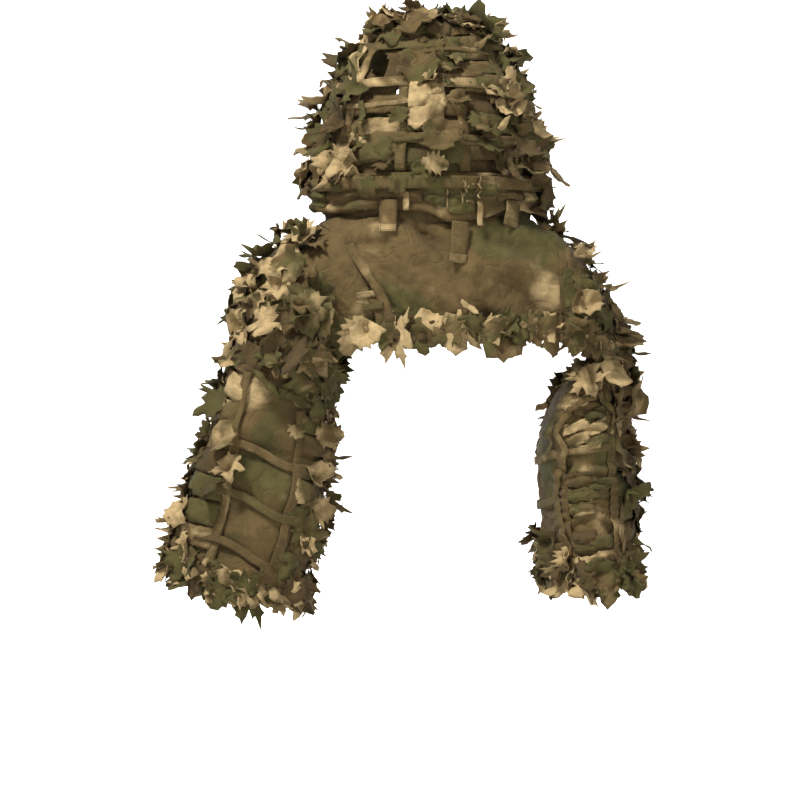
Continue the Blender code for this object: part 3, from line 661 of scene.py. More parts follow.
def right_folds(theta, s, point):
    """Cross creases where the cloth has ridden up the arm."""
    fade = smooth(s / 0.8)
    height = 0.0050 * wobble_at(point, 20.0, 7.0) + 0.0022 * wobble_at(point, 60.0)
    rows = point.z * 165.0 + 8.0 * wobble_at(point, 13.0, 9.0) + 0.9 * math.cos(theta * 2)
    gathered = math.exp(-(((theta - 1.58) / 0.60) ** 4))
    uneven = 0.55 + 0.9 * (0.5 + wobble_at(point, 30.0, 15.0))
    height += (abs(math.sin(rows)) - 0.6) * smooth((s - 2.8) / 0.8) * (0.0022 + 0.0065 * gathered) * uneven
    height += 0.0035 * math.sin(3 * theta + 0.6 * s) * smooth((s - 2.0) / 2.0)
    return height * fade


def sleeve_surface(stations, folds):
    """A sleeve: u is the angle round the arm from its outer side towards the back, v the station."""

    def point(theta, s):
        return sleeve_point(stations, theta, s)

    def middle(s):
        return sleeve_middle(stations, s)

    return Surface(point, middle, folds)


LEFT = sleeve_surface(LEFT_STATIONS, left_folds)
RIGHT = sleeve_surface(RIGHT_STATIONS, right_folds)

# ---------------------------------------------------------------- cloth panels

# Patches of colour on the back panel: x, z, radius, then how much tan, olive and shade they add
BACK_PATCHES = [
    (0.073, -0.040, 0.036, 0.12, 0.00, 0.0),
    (0.033, -0.082, 0.028, 0.16, 0.05, 0.0),
    (-0.004, -0.112, 0.028, 0.18, 0.10, 0.0),
    (-0.150, -0.052, 0.019, 0.34, 0.00, 0.0),
    (-0.164, -0.104, 0.034, 0.42, -0.10, 0.0),
    (-0.012, -0.060, 0.024, 0.16, -0.10, 0.0),
    (0.088, -0.010, 0.034, 0.10, 0.10, 0.0),
    (0.034, -0.128, 0.030, -0.10, 0.35, 0.1),
    (-0.075, -0.028, 0.030, -0.10, 0.38, 0.0),
    (-0.145, -0.015, 0.032, -0.10, 0.34, 0.0),
    (-0.063, -0.084, 0.040, -0.05, -0.30, 0.0),
    (0.030, -0.030, 0.040, -0.05, -0.25, 0.0),
    (0.100, -0.020, 0.030, -0.05, -0.15, 0.0),
    (-0.120, -0.085, 0.030, -0.05, -0.20, 0.1),
]


def back_tone(x, z):
    tan, olive, shade = 0.34, 0.42, 0.0
    for px, pz, radius, more_tan, more_olive, more_shade in BACK_PATCHES:
        share = math.exp(-((x - px) ** 2 + (z - pz) ** 2) / radius**2)
        tan, olive, shade = tan + share * more_tan, olive + share * more_olive, shade + share * more_shade
    return (clamp(tan), clamp(olive), clamp(shade))


def yoke_panel(name, surface, low_x, high_x, columns, rows, cuts, node):
    """A chest or back panel from the neck to the hem, with painted shade in the valleys of its folds and a
    painted highlight on their ridges.
    """
    build = Build()
    grid, folds = [], []
    for x in spread(low_x, high_x, columns):
        start = neck_angle(x)
        section = [start + (math.pi / 2 - start) * (1 - (1 - k / 60) ** 1.6) for k in range(61)]
        line = even([(x, a) for a in section], surface.point, rows)
        grid.append([surface.at(*place)[0] for place in line])
        folds.append([yoke_folds(*place, surface.point(*place)) for place in line])
    columns_first = [[grid[c][r] for c in range(columns)] for r in range(rows)]

    def tone(r, c):
        p, fold = columns_first[r][c], folds[c][r]
        tan, olive, shade = back_tone(p.x, p.z) if p.y > 0 else (0.36, 0.42, 0.05)
        # Painted shade in the valleys of the folds, and a painted highlight, more tan, on their ridges
        return (clamp(tan + 9.0 * fold), olive, clamp(shade + 0.06 - 38.0 * fold, 0.0, 0.55))

    build.grid(columns_first, tone)
    return attach(build.make(name, CLOTH, CLOTH_THICKNESS, cuts), "yoke", replaces=[node])


def even(places, point, count):
    """The places (u, v) along a line on a surface, chosen again at even distances."""
    spots = [point(u, v) for u, v in places]
    lengths = [0.0]
    for a, b in neighbours(spots):
        lengths.append(lengths[-1] + (b - a).length)
    made, k = [], 0
    for i in range(count):
        target = lengths[-1] * i / (count - 1)
        while k < len(spots) - 2 and lengths[k + 1] < target:
            k += 1
        part = (target - lengths[k]) / max(lengths[k + 1] - lengths[k], 1e-9)
        made.append(tuple(a + (b - a) * part for a, b in zip(places[k], places[k + 1])))
    return made


left_cut = plane_cut(LEFT_SEAM_POINT, LEFT_SEAM_NORMAL)
back_cloth = yoke_panel("back_cloth", BACK, -YOKE_HALF_WIDTH, 0.190, 110, 56, [left_cut], "yoke_back")
front_left_cloth = yoke_panel(
    "front_left_cloth", FRONT, FRONT_OPENING_HALF, 0.190, 44, 44, [left_cut], "yoke_front_left"
)
front_right_cloth = yoke_panel(
    "front_right_cloth", FRONT, -YOKE_HALF_WIDTH, -FRONT_OPENING_HALF, 44, 44, [], "yoke_front_right"
)


# The sleeve's edge is turned in under the yoke: how far along, and by what share towards the middle
SEAM_ALLOWANCE = 0.014
SEAM_TUCK = 0.05


def sleeve_cloth(name, surface, vent, bend, nodes, seed):
    build = Build()
    count, rows = 96, 150
    grid, folds = [], []
    for s in spread(0.0, CUFF, rows):
        thetas = [2 * math.pi * k / count for k in range(count)]
        grid.append([surface.at(theta, s)[0] for theta in thetas])
        folds.append([surface.folds(theta, s, surface.point(theta, s)) for theta in thetas])
    inwards = -(LEFT_SEAM_NORMAL if vent is LEFT_VENT else RIGHT_SEAM_NORMAL)
    middle = sum(grid[0], Vector()) / count
    grid.insert(0, [p + (middle - p) * SEAM_TUCK + inwards * SEAM_ALLOWANCE for p in grid[0]])
    folds.insert(0, folds[0])

    def tone(r, c):
        p = grid[r][c]
        # Painted shade in the valleys of the folds, and a painted highlight, more tan, on their ridges
        tan = 0.36 + 0.5 * wobble_at(p, 14.0, seed) + 10.0 * folds[r][c]
        shade = clamp(0.12 - 30.0 * folds[r][c], 0.0, 0.55)
        return (clamp(tan), clamp(0.44 + 0.5 * wobble_at(p, 11.0, seed + 4)), shade)

    build.grid(grid, tone, closed=True)
    return attach(build.make(name, LADDER, CLOTH_THICKNESS, [vent_cut(vent)]), None, bend, nodes)


left_cloth = sleeve_cloth(
    "left_sleeve_cloth", LEFT, LEFT_VENT, LEFT_BEND, ["left_sleeve_upper", "left_sleeve_lower"], 1.0
)
right_cloth = sleeve_cloth(
    "right_sleeve_cloth", RIGHT, RIGHT_VENT, RIGHT_BEND, ["right_sleeve_upper", "right_sleeve_lower"], 8.0
)

# Gaps in the hood's cloth, seen from behind: x, z, half width and half height
HOOD_GAPS = [
    (0.069, 0.226, 0.012, 0.027),
    (0.112, 0.197, 0.009, 0.006),
    (0.124, 0.172, 0.006, 0.007),
    (0.040, 0.178, 0.004, 0.008),
    (-0.100, 0.214, 0.005, 0.010),
    (0.088, 0.262, 0.007, 0.006),
]


def in_gap(point, grow=0.0):
    if point.y < 0:
        return False
    for x, z, half_width, half_height in HOOD_GAPS:
        across, up = (point.x - x) / (half_width + grow), (point.z - z) / (half_height + grow)
        if across**2 + up**2 < 1:
            return True
    return False


def hood_cloth():
    build = Build()
    count, rows = 150, 84
    grid = []
    for r in range(rows):
        lift = 0.965 * r / (rows - 1)
        grid.append([HOOD.at(2 * math.pi * k / count, lift, -0.001)[0] for k in range(count)])

    def keep(r, c):
        corners = [grid[r][c], grid[r + 1][(c + 1) % count]]
        middle = (corners[0] + corners[1]) / 2
        return not in_gap(middle)

    def tone(r, c):
        p = grid[r][c]
        return (
            clamp(0.34 + 0.5 * wobble_at(p, 15.0, 3.0)),
            clamp(0.42 + 0.5 * wobble_at(p, 12.0, 6.0)),
            # Painted shade: the whole cloth is darkened, as if in the shadow of the leaves, cells and tapes
            # over it
            0.50,
        )

    build.grid(grid, tone, keep, closed=True)
    crown = [hood_point(0.0, HOOD_TOP) + Vector((0.0, 0.0, 0.001))]
    ring = grid[-1]
    build.add(
        crown + ring,
        [(0, k + 1, (k + 1) % count + 1) for k in range(count)],
        [(0.0, 0.0)] + [(p.x, p.y) for p in ring],
        [(0.36, 0.42, 0.2)] * (count + 1),
    )

    def face_cut(work):
        for point, normal in (
            (Vector((0.0, FACE_PLANE_Y, 0.0)), Vector((0.0, -1.0, 0.0))),
            (Vector((0.0, FACE_PLANE_Y, CHIN_Z)), Vector((0.0, -1.0, -CHIN_SLOPE))),
        ):
            plane_cut(point, normal)(work)

    def weld(work):
        bmesh.ops.remove_doubles(work, verts=work.verts, dist=1e-5)

    made = build.make("hood_cloth", LADDER, CLOTH_THICKNESS, [weld, face_cut])
    return attach(made, None, HOOD_BEND, ["hood_centre_panel", "hood_left_panel", "hood_right_panel"])


hood = hood_cloth()

# ---------------------------------------------------------------- the skirt below the hood, and the collar

# The skirt's lower edge: angle round the neck, height
SKIRT_EDGE = [
    (-2.20, 0.024), (-1.57, 0.004), (-1.10, 0.014), (-0.78, 0.018), (-0.46, 0.003), (-0.234, -0.005),
    (0.07, 0.013), (0.378, 0.017), (0.857, 0.013), (1.30, 0.016), (2.20, 0.026),
]
SKIRT_TOP = 0.066


def along_table(table, value):
    """The height at a value between the rows of a table, eased from row to row."""
    for (a, low), (b, high) in neighbours(table):
        if value <= b:
            return low + (high - low) * smooth((value - a) / (b - a))
    return table[-1][1]


def skirt_point(theta, t):
    z = SKIRT_TOP + (along_table(SKIRT_EDGE, theta) - SKIRT_TOP) * t
    tuck = smooth((SKIRT_TOP - z) / 0.036)
    depth = 0.1165 - 0.0105 * tuck if math.cos(theta) > 0 else 0.148 - 0.040 * tuck
    return Vector(((0.165 - 0.003 * tuck) * math.sin(theta), depth * math.cos(theta), z))


def skirt_folds(theta, t, point):
    height = 0.0030 * math.sin(9.0 * theta + 2.0 * t) + 0.0040 * wobble_at(point, 30.0, 4.0)
    height += 0.0035 * math.sin(t * 16.0 + 5.0 * wobble_at(point, 12.0, 2.0))
    return height * (0.25 + 0.75 * smooth(abs(theta + 0.02) / 0.9))


SKIRT = Surface(skirt_point, Vector((0.0, 0.0, 0.03)), skirt_folds)


def hood_skirt():
    build = Build()
    thetas = spread(-2.15, 2.15, 150)
    rows = [[SKIRT.at(theta, t, 0.0045)[0] for theta in thetas] for t in spread(0.0, 1.0, 18)]

    def tone(r, c):
        p = rows[r][c]
        tan = 0.38 + 0.7 * wobble_at(p, 26.0, 3.0)
        return (clamp(tan), clamp(0.45 + 0.6 * wobble_at(p, 18.0, 6.0)), 0.10)

    build.grid(rows, tone)
    return attach(build.make("hood_skirt", CLOTH, CLOTH_THICKNESS), None, HOOD_BEND)


def collar_cloth():
    build = Build()
    half = math.radians(130)
    columns = []
    for theta in spread(-half, half, 120):
        x = NECK_HALF_WIDTH * math.sin(theta)
        side = 1 if math.cos(theta) > 0 else -1
        low = yoke_point(x, side, neck_angle(x)).z - 0.014
        columns.append([COLLAR.at(theta, z, -0.0005)[0] for z in spread(low, 0.0385, 8)])
    rows = [[column[r] for column in columns] for r in range(8)]
    build.grid(rows, (0.30, 0.45, 0.25))
    return attach(build.make("collar_cloth", CLOTH, CLOTH_THICKNESS), "yoke", replaces=["collar"])


skirt = hood_skirt()
collar = collar_cloth()

# ---------------------------------------------------------------- webbing tapes


ROUTE_STEP = 0.004


def route(surface, places, off=0.0):
    """Points and normals at even distances along places (u, v) joined on a surface."""
    fine = []
    for (u0, v0), (u1, v1) in neighbours(places):
        fine += [(u0 + (u1 - u0) * k / 24, v0 + (v1 - v0) * k / 24) for k in range(24)]
    fine.append(places[-1])
    length = sum((surface.point(*b) - surface.point(*a)).length for a, b in neighbours(fine))
    count = max(3, round(length / ROUTE_STEP))
    return [surface.at(u, v, off) for u, v in even(fine, surface.point, count)]


def ribbon(build, way, width, tone, closed=False, waver=0.0, seed=0.0, crown=0.0004):
    """A tape of five points across, laid along a way of points and normals. It lifts off by up to waver, and
    its middle stands higher than its edges by crown."""
    rows = []
    count = len(way)
    for i, (point, normal) in enumerate(way):
        before = way[(i - 1) % count if closed else max(i - 1, 0)][0]
        after = way[(i + 1) % count if closed else min(i + 1, count - 1)][0]
        across = (after - before).cross(normal).normalized()
        lift = normal * (waver * (0.5 + wobble(i * 0.1, seed, 0.0, 1.3)))
        tilt = 0.18 * wobble(i * 0.1, seed + 9.0, 0.0, 0.9)
        row = []
        for k in (-1.0, -0.5, 0.0, 0.5, 1.0):
            bulge = normal * (crown * (1 - k * k) + tilt * k * width / 2)
            row.append(point + across * (k * width / 2) + lift + bulge)
        rows.append(row)
    if closed:
        rows.append(list(rows[0]))
    build.grid(rows, tone, shift=(seed * 0.37, seed * 0.61))


def stitch_line(build, way, offset, spacing=0.0046, size=(0.0029, 0.0006), lift=0.0012):
    """A row of sewn threads beside a way of points and normals."""
    travelled, due = 0.0, spacing / 2
    for (a, normal), (b, _) in neighbours(way):
        step = (b - a).length
        while step > 0 and travelled + step >= due:
            direction = (b - a).normalized()
            across = direction.cross(normal).normalized()
            middle = a + direction * (due - travelled) + across * offset + normal * lift
            thread(build, middle, direction, across, normal, *size)
            due += spacing
        travelled += step


def thread(build, middle, along, across, up, length, width):
    """One short stitch: a low six-sided bar with its ends tucked down."""
    points = []
    for end, drop in ((-0.5, 0.0006), (-0.25, 0.0), (0.25, 0.0), (0.5, 0.0006)):
        centre = middle + along * (end * length) - up * drop
        points += [centre - across * (width / 2), centre + up * (width * 0.45), centre + across * (width / 2)]
    faces = [(0, 2, 1), (9, 10, 11)]
    for k in (0, 3, 6):
        faces += [(k, k + 1, k + 4, k + 3), (k + 1, k + 2, k + 5, k + 4), (k + 2, k, k + 3, k + 5)]
    build.add(points, faces, [(p.x, p.z) for p in points], [(0.5, 0.4, 0.0)] * len(points))


TAPE_TONES = [
    (0.50, 0.45, 0.02), (0.44, 0.40, 0.08), (0.56, 0.40, 0.0), (0.34, 0.66, 0.08), (0.40, 0.35, 0.16),
]
sewing = {key: Build() for key in ("hood", "yoke", "left", "right")}
BENDS = {"hood": HOOD_BEND, "left": LEFT_BEND, "right": RIGHT_BEND, "yoke": None}
tapes = {key: [] for key in BENDS}


def tape(
    name, group, surface, places, width=0.0145, off=0.0042, tone=0, node=None, closed=False, waver=0.0015
):
    """A sewn tape on a surface, standing for a CAD tape where one is named."""
    build = Build()
    way = route(surface, places, off=off)
    if closed:
        way = way[:-1]
    ribbon(build, way, width, TAPE_TONES[tone % len(TAPE_TONES)], closed, waver, seed=len(name) + tone * 1.7)
    for side in (-1, 1):
        stitch_line(sewing[group], way, side * (width / 2 - 0.0022), lift=0.0012 + waver * 0.5)
    piece = build.make(name, TAPE, TAPE_THICKNESS)
    attach(piece, "yoke", BENDS[group], [node] if node else ())
    tapes[group].append(piece)


UPRIGHTS = {"centre_left": 0.245, "centre_right": -0.320, "left": 0.80, "right": -0.88}
for i, (name, theta) in enumerate(UPRIGHTS.items()):
    lean = -0.030 if name == "centre_right" else 0.015
    places = [(theta + lean * (lift - 0.3), lift) for lift in spread(0.06, 0.80, 9)]
    tape(f"hood_tape_upright_{name}", "hood", HOOD, places, tone=i, node=f"hood_upright_{name}")
for i, (name, lift) in enumerate({"low": 0.16, "middle": 0.37, "high": 0.57}.items()):
    places = [(theta, lift + 0.006 * math.sin(3 * theta + i)) for theta in spread(-1.85, 1.85, 17)]
    tape(f"hood_tape_cross_{name}", "hood", HOOD, places, tone=i + 1, off=0.0062, node=f"hood_cross_{name}")
# Thin tapes over the others: height, and the angles where each starts and ends
THIN_TAPES = [(0.205, -0.60, 0.35), (0.162, -0.34, 0.86), (0.112, -0.9, 0.3), (0.236, -0.9, 0.3)]
for i, (z, start, end) in enumerate(THIN_TAPES):
    places = [(theta, hood_lift(z + 0.003 * math.sin(5 * theta + i))) for theta in spread(start, end, 9)]
    tape(f"hood_tape_thin_{i + 1}", "hood", HOOD, places, width=0.0065, off=0.0085, tone=i + 1, waver=0.002)
places = [(theta, hood_lift(0.0545)) for theta in spread(-2.0, 2.0, 17)]
tape("hood_tape_base", "hood", HOOD, places, width=0.018, off=0.0078, tone=0, node="hood_base_band")


def face_angle(z):
    """Half the angle that the hood keeps at height z, where the face opening has its edge."""
    front = abs(hood_point(math.pi, z).y)
    return math.acos(clamp(face_y(z) / front, -1.0, 1.0))


def face_edge():
    """Up the wearer's left side of the face opening, over its top and down the right side."""
    up = [(face_angle(z) - 0.035, hood_lift(z)) for z in spread(0.034, 0.2235, 26)]
    return up + [(2 * math.pi - theta, lift) for theta, lift in reversed(up)]


tape(
    "face_opening_hem", "hood", HOOD, face_edge(),
    width=0.016, off=0.0026, tone=4, node="hood_face_hem", waver=0.0,
)

half = math.radians(128)
places = [(theta, 0.026) for theta in spread(-half, half, 25)]
tape("collar_tape", "yoke", COLLAR, places, width=0.020, off=0.0022, tone=1, node="collar_band", waver=0.0)

# A sleeve's upright tapes, each with its angle round the arm and the station where it starts, and its
# rungs, each with its station
SLEEVE_UPRIGHTS = [("rear_outer", 1.05, 3.3), ("rear_inner", 2.1, 3.6), ("front", -1.45, 2.6)]
SLEEVE_RUNGS = {"high": 4.75, "middle": 5.75, "low": 6.75}
UPRIGHT_END = 7.72
CUFF_HEM = 7.86
TURN = 2 * math.pi
ROUND = spread(0.0, TURN, 33)


def sag(side, theta):
    """How far down, in stations, a rung droops at the inner rear tape of the left sleeve."""
    return 0.36 * math.exp(-(((theta - 2.05) / 0.55) ** 2)) - 0.05 if side == "left" else 0.0


for side, surface in (("left", LEFT), ("right", RIGHT)):
    for i, (name, theta, start) in enumerate(SLEEVE_UPRIGHTS):
        places = [(theta + 0.05 * math.sin(s * 1.3 + i), s) for s in spread(start, UPRIGHT_END, 13)]
        node = f"{side}_sleeve_tape_{name}"
        tape(f"{side}_sleeve_upright_{name}", side, surface, places, off=0.0040, tone=i, node=node)
    rung_off = 0.0058 if side == "left" else 0.0036
    for i, (name, s) in enumerate(SLEEVE_RUNGS.items()):
        places = [(theta, s + 0.08 * math.sin(2 * theta + i) + sag(side, theta)) for theta in ROUND]
        tape(
            f"{side}_sleeve_cross_{name}", side, surface, places,
            width=0.012, off=rung_off, tone=i + 2, node=f"{side}_sleeve_rung_{name}", closed=True,
        )
    tape(
        f"{side}_cuff_hem", side, surface, [(theta, CUFF_HEM) for theta in ROUND],
        width=0.016, off=0.0030, tone=3, node=f"{side}_cuff_tape", closed=True, waver=0.0,
    )

# Loose ends of tape on the right sleeve, each through places (theta, station), with its width and tone
LOOSE_ENDS = [
    ([(1.86, 3.75), (2.14, 4.15), (2.00, 4.65), (2.08, 5.10)], 0.010, 2),
    ([(2.16, 5.10), (2.34, 5.60), (2.20, 6.30), (2.12, 7.00)], 0.013, 0),
    ([(1.02, 3.30), (0.78, 3.90), (0.98, 4.35), (0.74, 4.90)], 0.010, 2),
    ([(1.30, 3.60), (1.06, 4.05), (0.86, 4.30)], 0.009, 3),
    ([(0.86, 6.00), (1.06, 6.60), (0.90, 7.10)], 0.009, 0),
    ([(1.90, 3.72), (1.60, 3.58), (1.36, 3.66)], 0.008, 1),
]
for i, (places, width, tone) in enumerate(LOOSE_ENDS):
    name = f"right_sleeve_loose_tape_{i + 1}"
    tape(name, "right", RIGHT, places, width=width, off=0.0075, tone=tone, waver=0.004)


def on_yoke(spots):
    """Places on the yoke for spots (x, z)."""
    return [(x, yoke_angle(x, z)) for x, z in spots]


# The armhole tapes run through spots (x, z). Each short rung at the left one has its start and its reach in x
LEFT_ARMHOLE = on_yoke([
    (0.112, -0.036), (0.102, -0.052), (0.086, -0.074), (0.068, -0.102), (0.056, -0.132), (0.050, -0.162),
])
ARMHOLE_RUNGS = [
    (0.090, -0.070, 0.020), (0.080, -0.086, 0.026), (0.070, -0.103, 0.030), (0.062, -0.120, 0.030),
]
RIGHT_ARMHOLE = on_yoke([(-0.188, -0.045), (-0.189, -0.090), (-0.190, -0.130), (-0.189, -0.160)])
HEM = on_yoke([(x, -0.157) for x in spread(0.046, -0.180, 15)])
tape(
    "left_armhole_tape", "yoke", BACK, LEFT_ARMHOLE,
    width=0.014, off=0.0056, tone=1, node="armhole_tape_left", waver=0.0,
)
for i, (x, z, reach) in enumerate(ARMHOLE_RUNGS):
    places = on_yoke([(x + reach * t, z - 0.004 * t) for t in (0.0, 0.5, 1.0)])
    tape(f"left_armhole_rung_{i + 1}", "yoke", BACK, places, width=0.009, off=0.0036, tone=i, waver=0.0022)
tape(
    "right_armhole_tape", "yoke", BACK, RIGHT_ARMHOLE,
    width=0.012, off=0.0030, tone=4, node="armhole_tape_right", waver=0.0,
)
tape("hem_band", "yoke", BACK, HEM, width=0.014, off=0.0030, tone=0, node="hem_tape", waver=0.0)

# Stitching down both edges of the front opening and along the front hems
STITCH_OFF = 0.0004
for side in (-1, 1):
    edge = [(side * (FRONT_OPENING_HALF + 0.006), angle) for angle in spread(0.95, 1.545, 30)]
    stitch_line(sewing["yoke"], route(FRONT, edge, off=STITCH_OFF), 0.0)
    stitch_line(sewing["yoke"], route(FRONT, edge, off=STITCH_OFF), side * 0.018)
    ends = (0.018, 0.100) if side > 0 else (-0.018, -0.190)
    for z in (-0.156, -0.150):
        hem = on_yoke([(x, z) for x in spread(*ends, 12)])
        stitch_line(sewing["yoke"], route(FRONT, hem, off=STITCH_OFF), 0.0)

# ---------------------------------------------------------------- cut cloth leaves

# Half outlines of the cut leaves, from the stem at (0, 0) to the tip, one length long
OUTLINES = {
    "maple": [
        (0.03, 0.0), (0.05, 0.10), (0.22, 0.05), (0.30, 0.12), (0.42, 0.10), (0.40, 0.20), (0.52, 0.24),
        (0.42, 0.32), (0.30, 0.36), (0.40, 0.46), (0.48, 0.50), (0.60, 0.62), (0.46, 0.64), (0.42, 0.72),
        (0.30, 0.64), (0.20, 0.60), (0.22, 0.72), (0.18, 0.80), (0.12, 0.86), (0.0, 1.0),
    ],
    "star": [
        (0.02, 0.0), (0.04, 0.12), (0.30, 0.02), (0.26, 0.14), (0.50, 0.20), (0.36, 0.34), (0.58, 0.54),
        (0.34, 0.52), (0.36, 0.74), (0.18, 0.66), (0.12, 0.84), (0.0, 1.0),
    ],
    "oak": [
        (0.02, 0.0), (0.05, 0.14), (0.16, 0.15), (0.26, 0.22), (0.17, 0.32), (0.32, 0.38), (0.38, 0.50),
        (0.23, 0.56), (0.31, 0.68), (0.28, 0.78), (0.16, 0.78), (0.14, 0.92), (0.0, 1.0),
    ],
    "jagged": [
        (0.03, 0.0), (0.14, 0.06), (0.12, 0.16), (0.30, 0.18), (0.24, 0.28), (0.42, 0.36), (0.30, 0.44),
        (0.44, 0.56), (0.28, 0.60), (0.34, 0.74), (0.18, 0.76), (0.16, 0.90), (0.0, 1.0),
    ],
    "broad": [
        (0.04, 0.0), (0.20, 0.03), (0.38, 0.10), (0.46, 0.24), (0.40, 0.32), (0.50, 0.44), (0.42, 0.52),
        (0.45, 0.66), (0.30, 0.74), (0.28, 0.86), (0.14, 0.88), (0.0, 1.0),
    ],
    "patch": [
        (0.10, 0.0), (0.42, 0.02), (0.38, 0.10), (0.48, 0.22), (0.42, 0.40), (0.50, 0.55), (0.38, 0.68),
        (0.44, 0.80), (0.22, 0.86), (0.16, 0.98), (0.0, 0.90),
    ],
    "holly": [
        (0.02, 0.0), (0.06, 0.10), (0.20, 0.08), (0.14, 0.22), (0.32, 0.28), (0.18, 0.38), (0.38, 0.50),
        (0.20, 0.56), (0.28, 0.72), (0.12, 0.74), (0.10, 0.88), (0.0, 1.0),
    ],
    "strip": [
        (0.07, 0.0), (0.12, 0.20), (0.09, 0.40), (0.14, 0.60), (0.10, 0.80), (0.05, 0.93), (0.0, 1.0),
    ],
}
# On a leaf of length 1: the spacing of the points inside it and of those on its edge
LEAF_GRID = 0.105
EDGE_STEP = 0.085


def leaf_blank(half, seed):
    """A flat leaf: its points, triangles and which points lie on its edge. The two sides differ a little."""
    chance = random.Random(seed)
    right = [(x * chance.uniform(0.80, 1.12), y * chance.uniform(0.96, 1.04)) for x, y in half]
    left = [(-x * chance.uniform(0.72, 1.10), y * chance.uniform(0.94, 1.04)) for x, y in half[:-1]]
    corners = right + left[::-1]
    outline = []
    for a, b in zip(corners, corners[1:] + corners[:1]):
        gap = math.dist(a, b)
        steps = max(1, round(gap / EDGE_STEP))
        for k in range(steps):
            bow = 0.10 * gap * math.sin(math.pi * k / steps)
            t = k / steps
            x = a[0] + (b[0] - a[0]) * t + bow * (b[1] - a[1]) / gap * -0.5
            outline.append((x, a[1] + (b[1] - a[1]) * t))
    edges = [(i, (i + 1) % len(outline)) for i in range(len(outline))]
    inner = []
    for row in range(12):
        for column in range(-6, 7):
            x, y = (column + 0.5 * (row % 2)) * LEAF_GRID, 0.05 + row * LEAF_GRID * 0.87
            if within((x, y), outline, 0.035):
                inner.append((x, y))
    flat = [Vector(p) for p in outline + inner]
    points, _, faces, _, _, _ = geometry.delaunay_2d_cdt(flat, edges, [], 1, 1e-5)
    rim = {i for i in range(len(points)) if min((points[i] - Vector(p)).length for p in outline) < 1e-4}
    return points, faces, rim


def within(point, outline, margin):
    """Whether a point lies inside an outline and no nearer to its points than the margin."""
    x, y = point
    inside = False
    for (ax, ay), (bx, by) in zip(outline, outline[1:] + outline[:1]):
        if (ay > y) != (by > y) and x < (bx - ax) * (y - ay) / (by - ay) + ax:
            inside = not inside
    return inside and min(math.dist(point, p) for p in outline) > margin


BLANK_COUNT = 5
BLANKS = {}
for i, (name, half) in enumerate(OUTLINES.items()):
    BLANKS[name] = [leaf_blank(half, 11 * i + k) for k in range(BLANK_COUNT)]

SHARES = {"maple": 5, "star": 2, "oak": 4, "jagged": 4, "broad": 4, "patch": 2, "holly": 1, "strip": 2}
KINDS = [kind for kind, share in SHARES.items() for _ in range(share)]
LOBED_KINDS = KINDS[:KINDS.index("broad")]
# Leaf tones: how much tan, olive and shade
LIGHT, SAND, KHAKI, MOSS, UMBER = (
    (0.90, 0.30, 0.0), (0.68, 0.38, 0.0), (0.50, 0.52, 0.06), (0.26, 0.80, 0.12), (0.30, 0.42, 0.42),
)
MIX = [LIGHT] * 3 + [SAND] * 5 + [KHAKI] * 6 + [MOSS] * 4 + [UMBER] * 4


LEAF_GAP = 0.0032


class Ground:
    """The cloth under the leaves, which keeps each leaf point above it."""

    def __init__(self, surface, us, vs, count_u, count_v):
        points = [surface.at(u, v)[0] for v in spread(*vs, count_v) for u in spread(*us, count_u)]
        faces = []
        for r in range(count_v - 1):
            for c in range(count_u - 1):
                a = r * count_u + c
                faces.append((a, a + 1, a + count_u + 1, a + count_u))
        self.surface = surface
        self.tree = BVHTree.FromPolygons(points, faces)
        middle_u, middle_v = sum(us) / 2, sum(vs) / 2
        _, normal, _, _ = self.tree.find_nearest(surface.at(middle_u, middle_v)[0])
        self.sign = 1 if normal.dot(surface.normal(middle_u, middle_v)) > 0 else -1

    def clear(self, point, gap):
        """The point, raised to stand at least the gap above the cloth when it is near it."""
        spot, normal, _, distance = self.tree.find_nearest(point)
        if spot is None or distance > 0.05:
            return point
        normal = normal * self.sign
        height = (point - spot).dot(normal)
        if height >= gap:
            return point
        return point + normal * (gap - height)


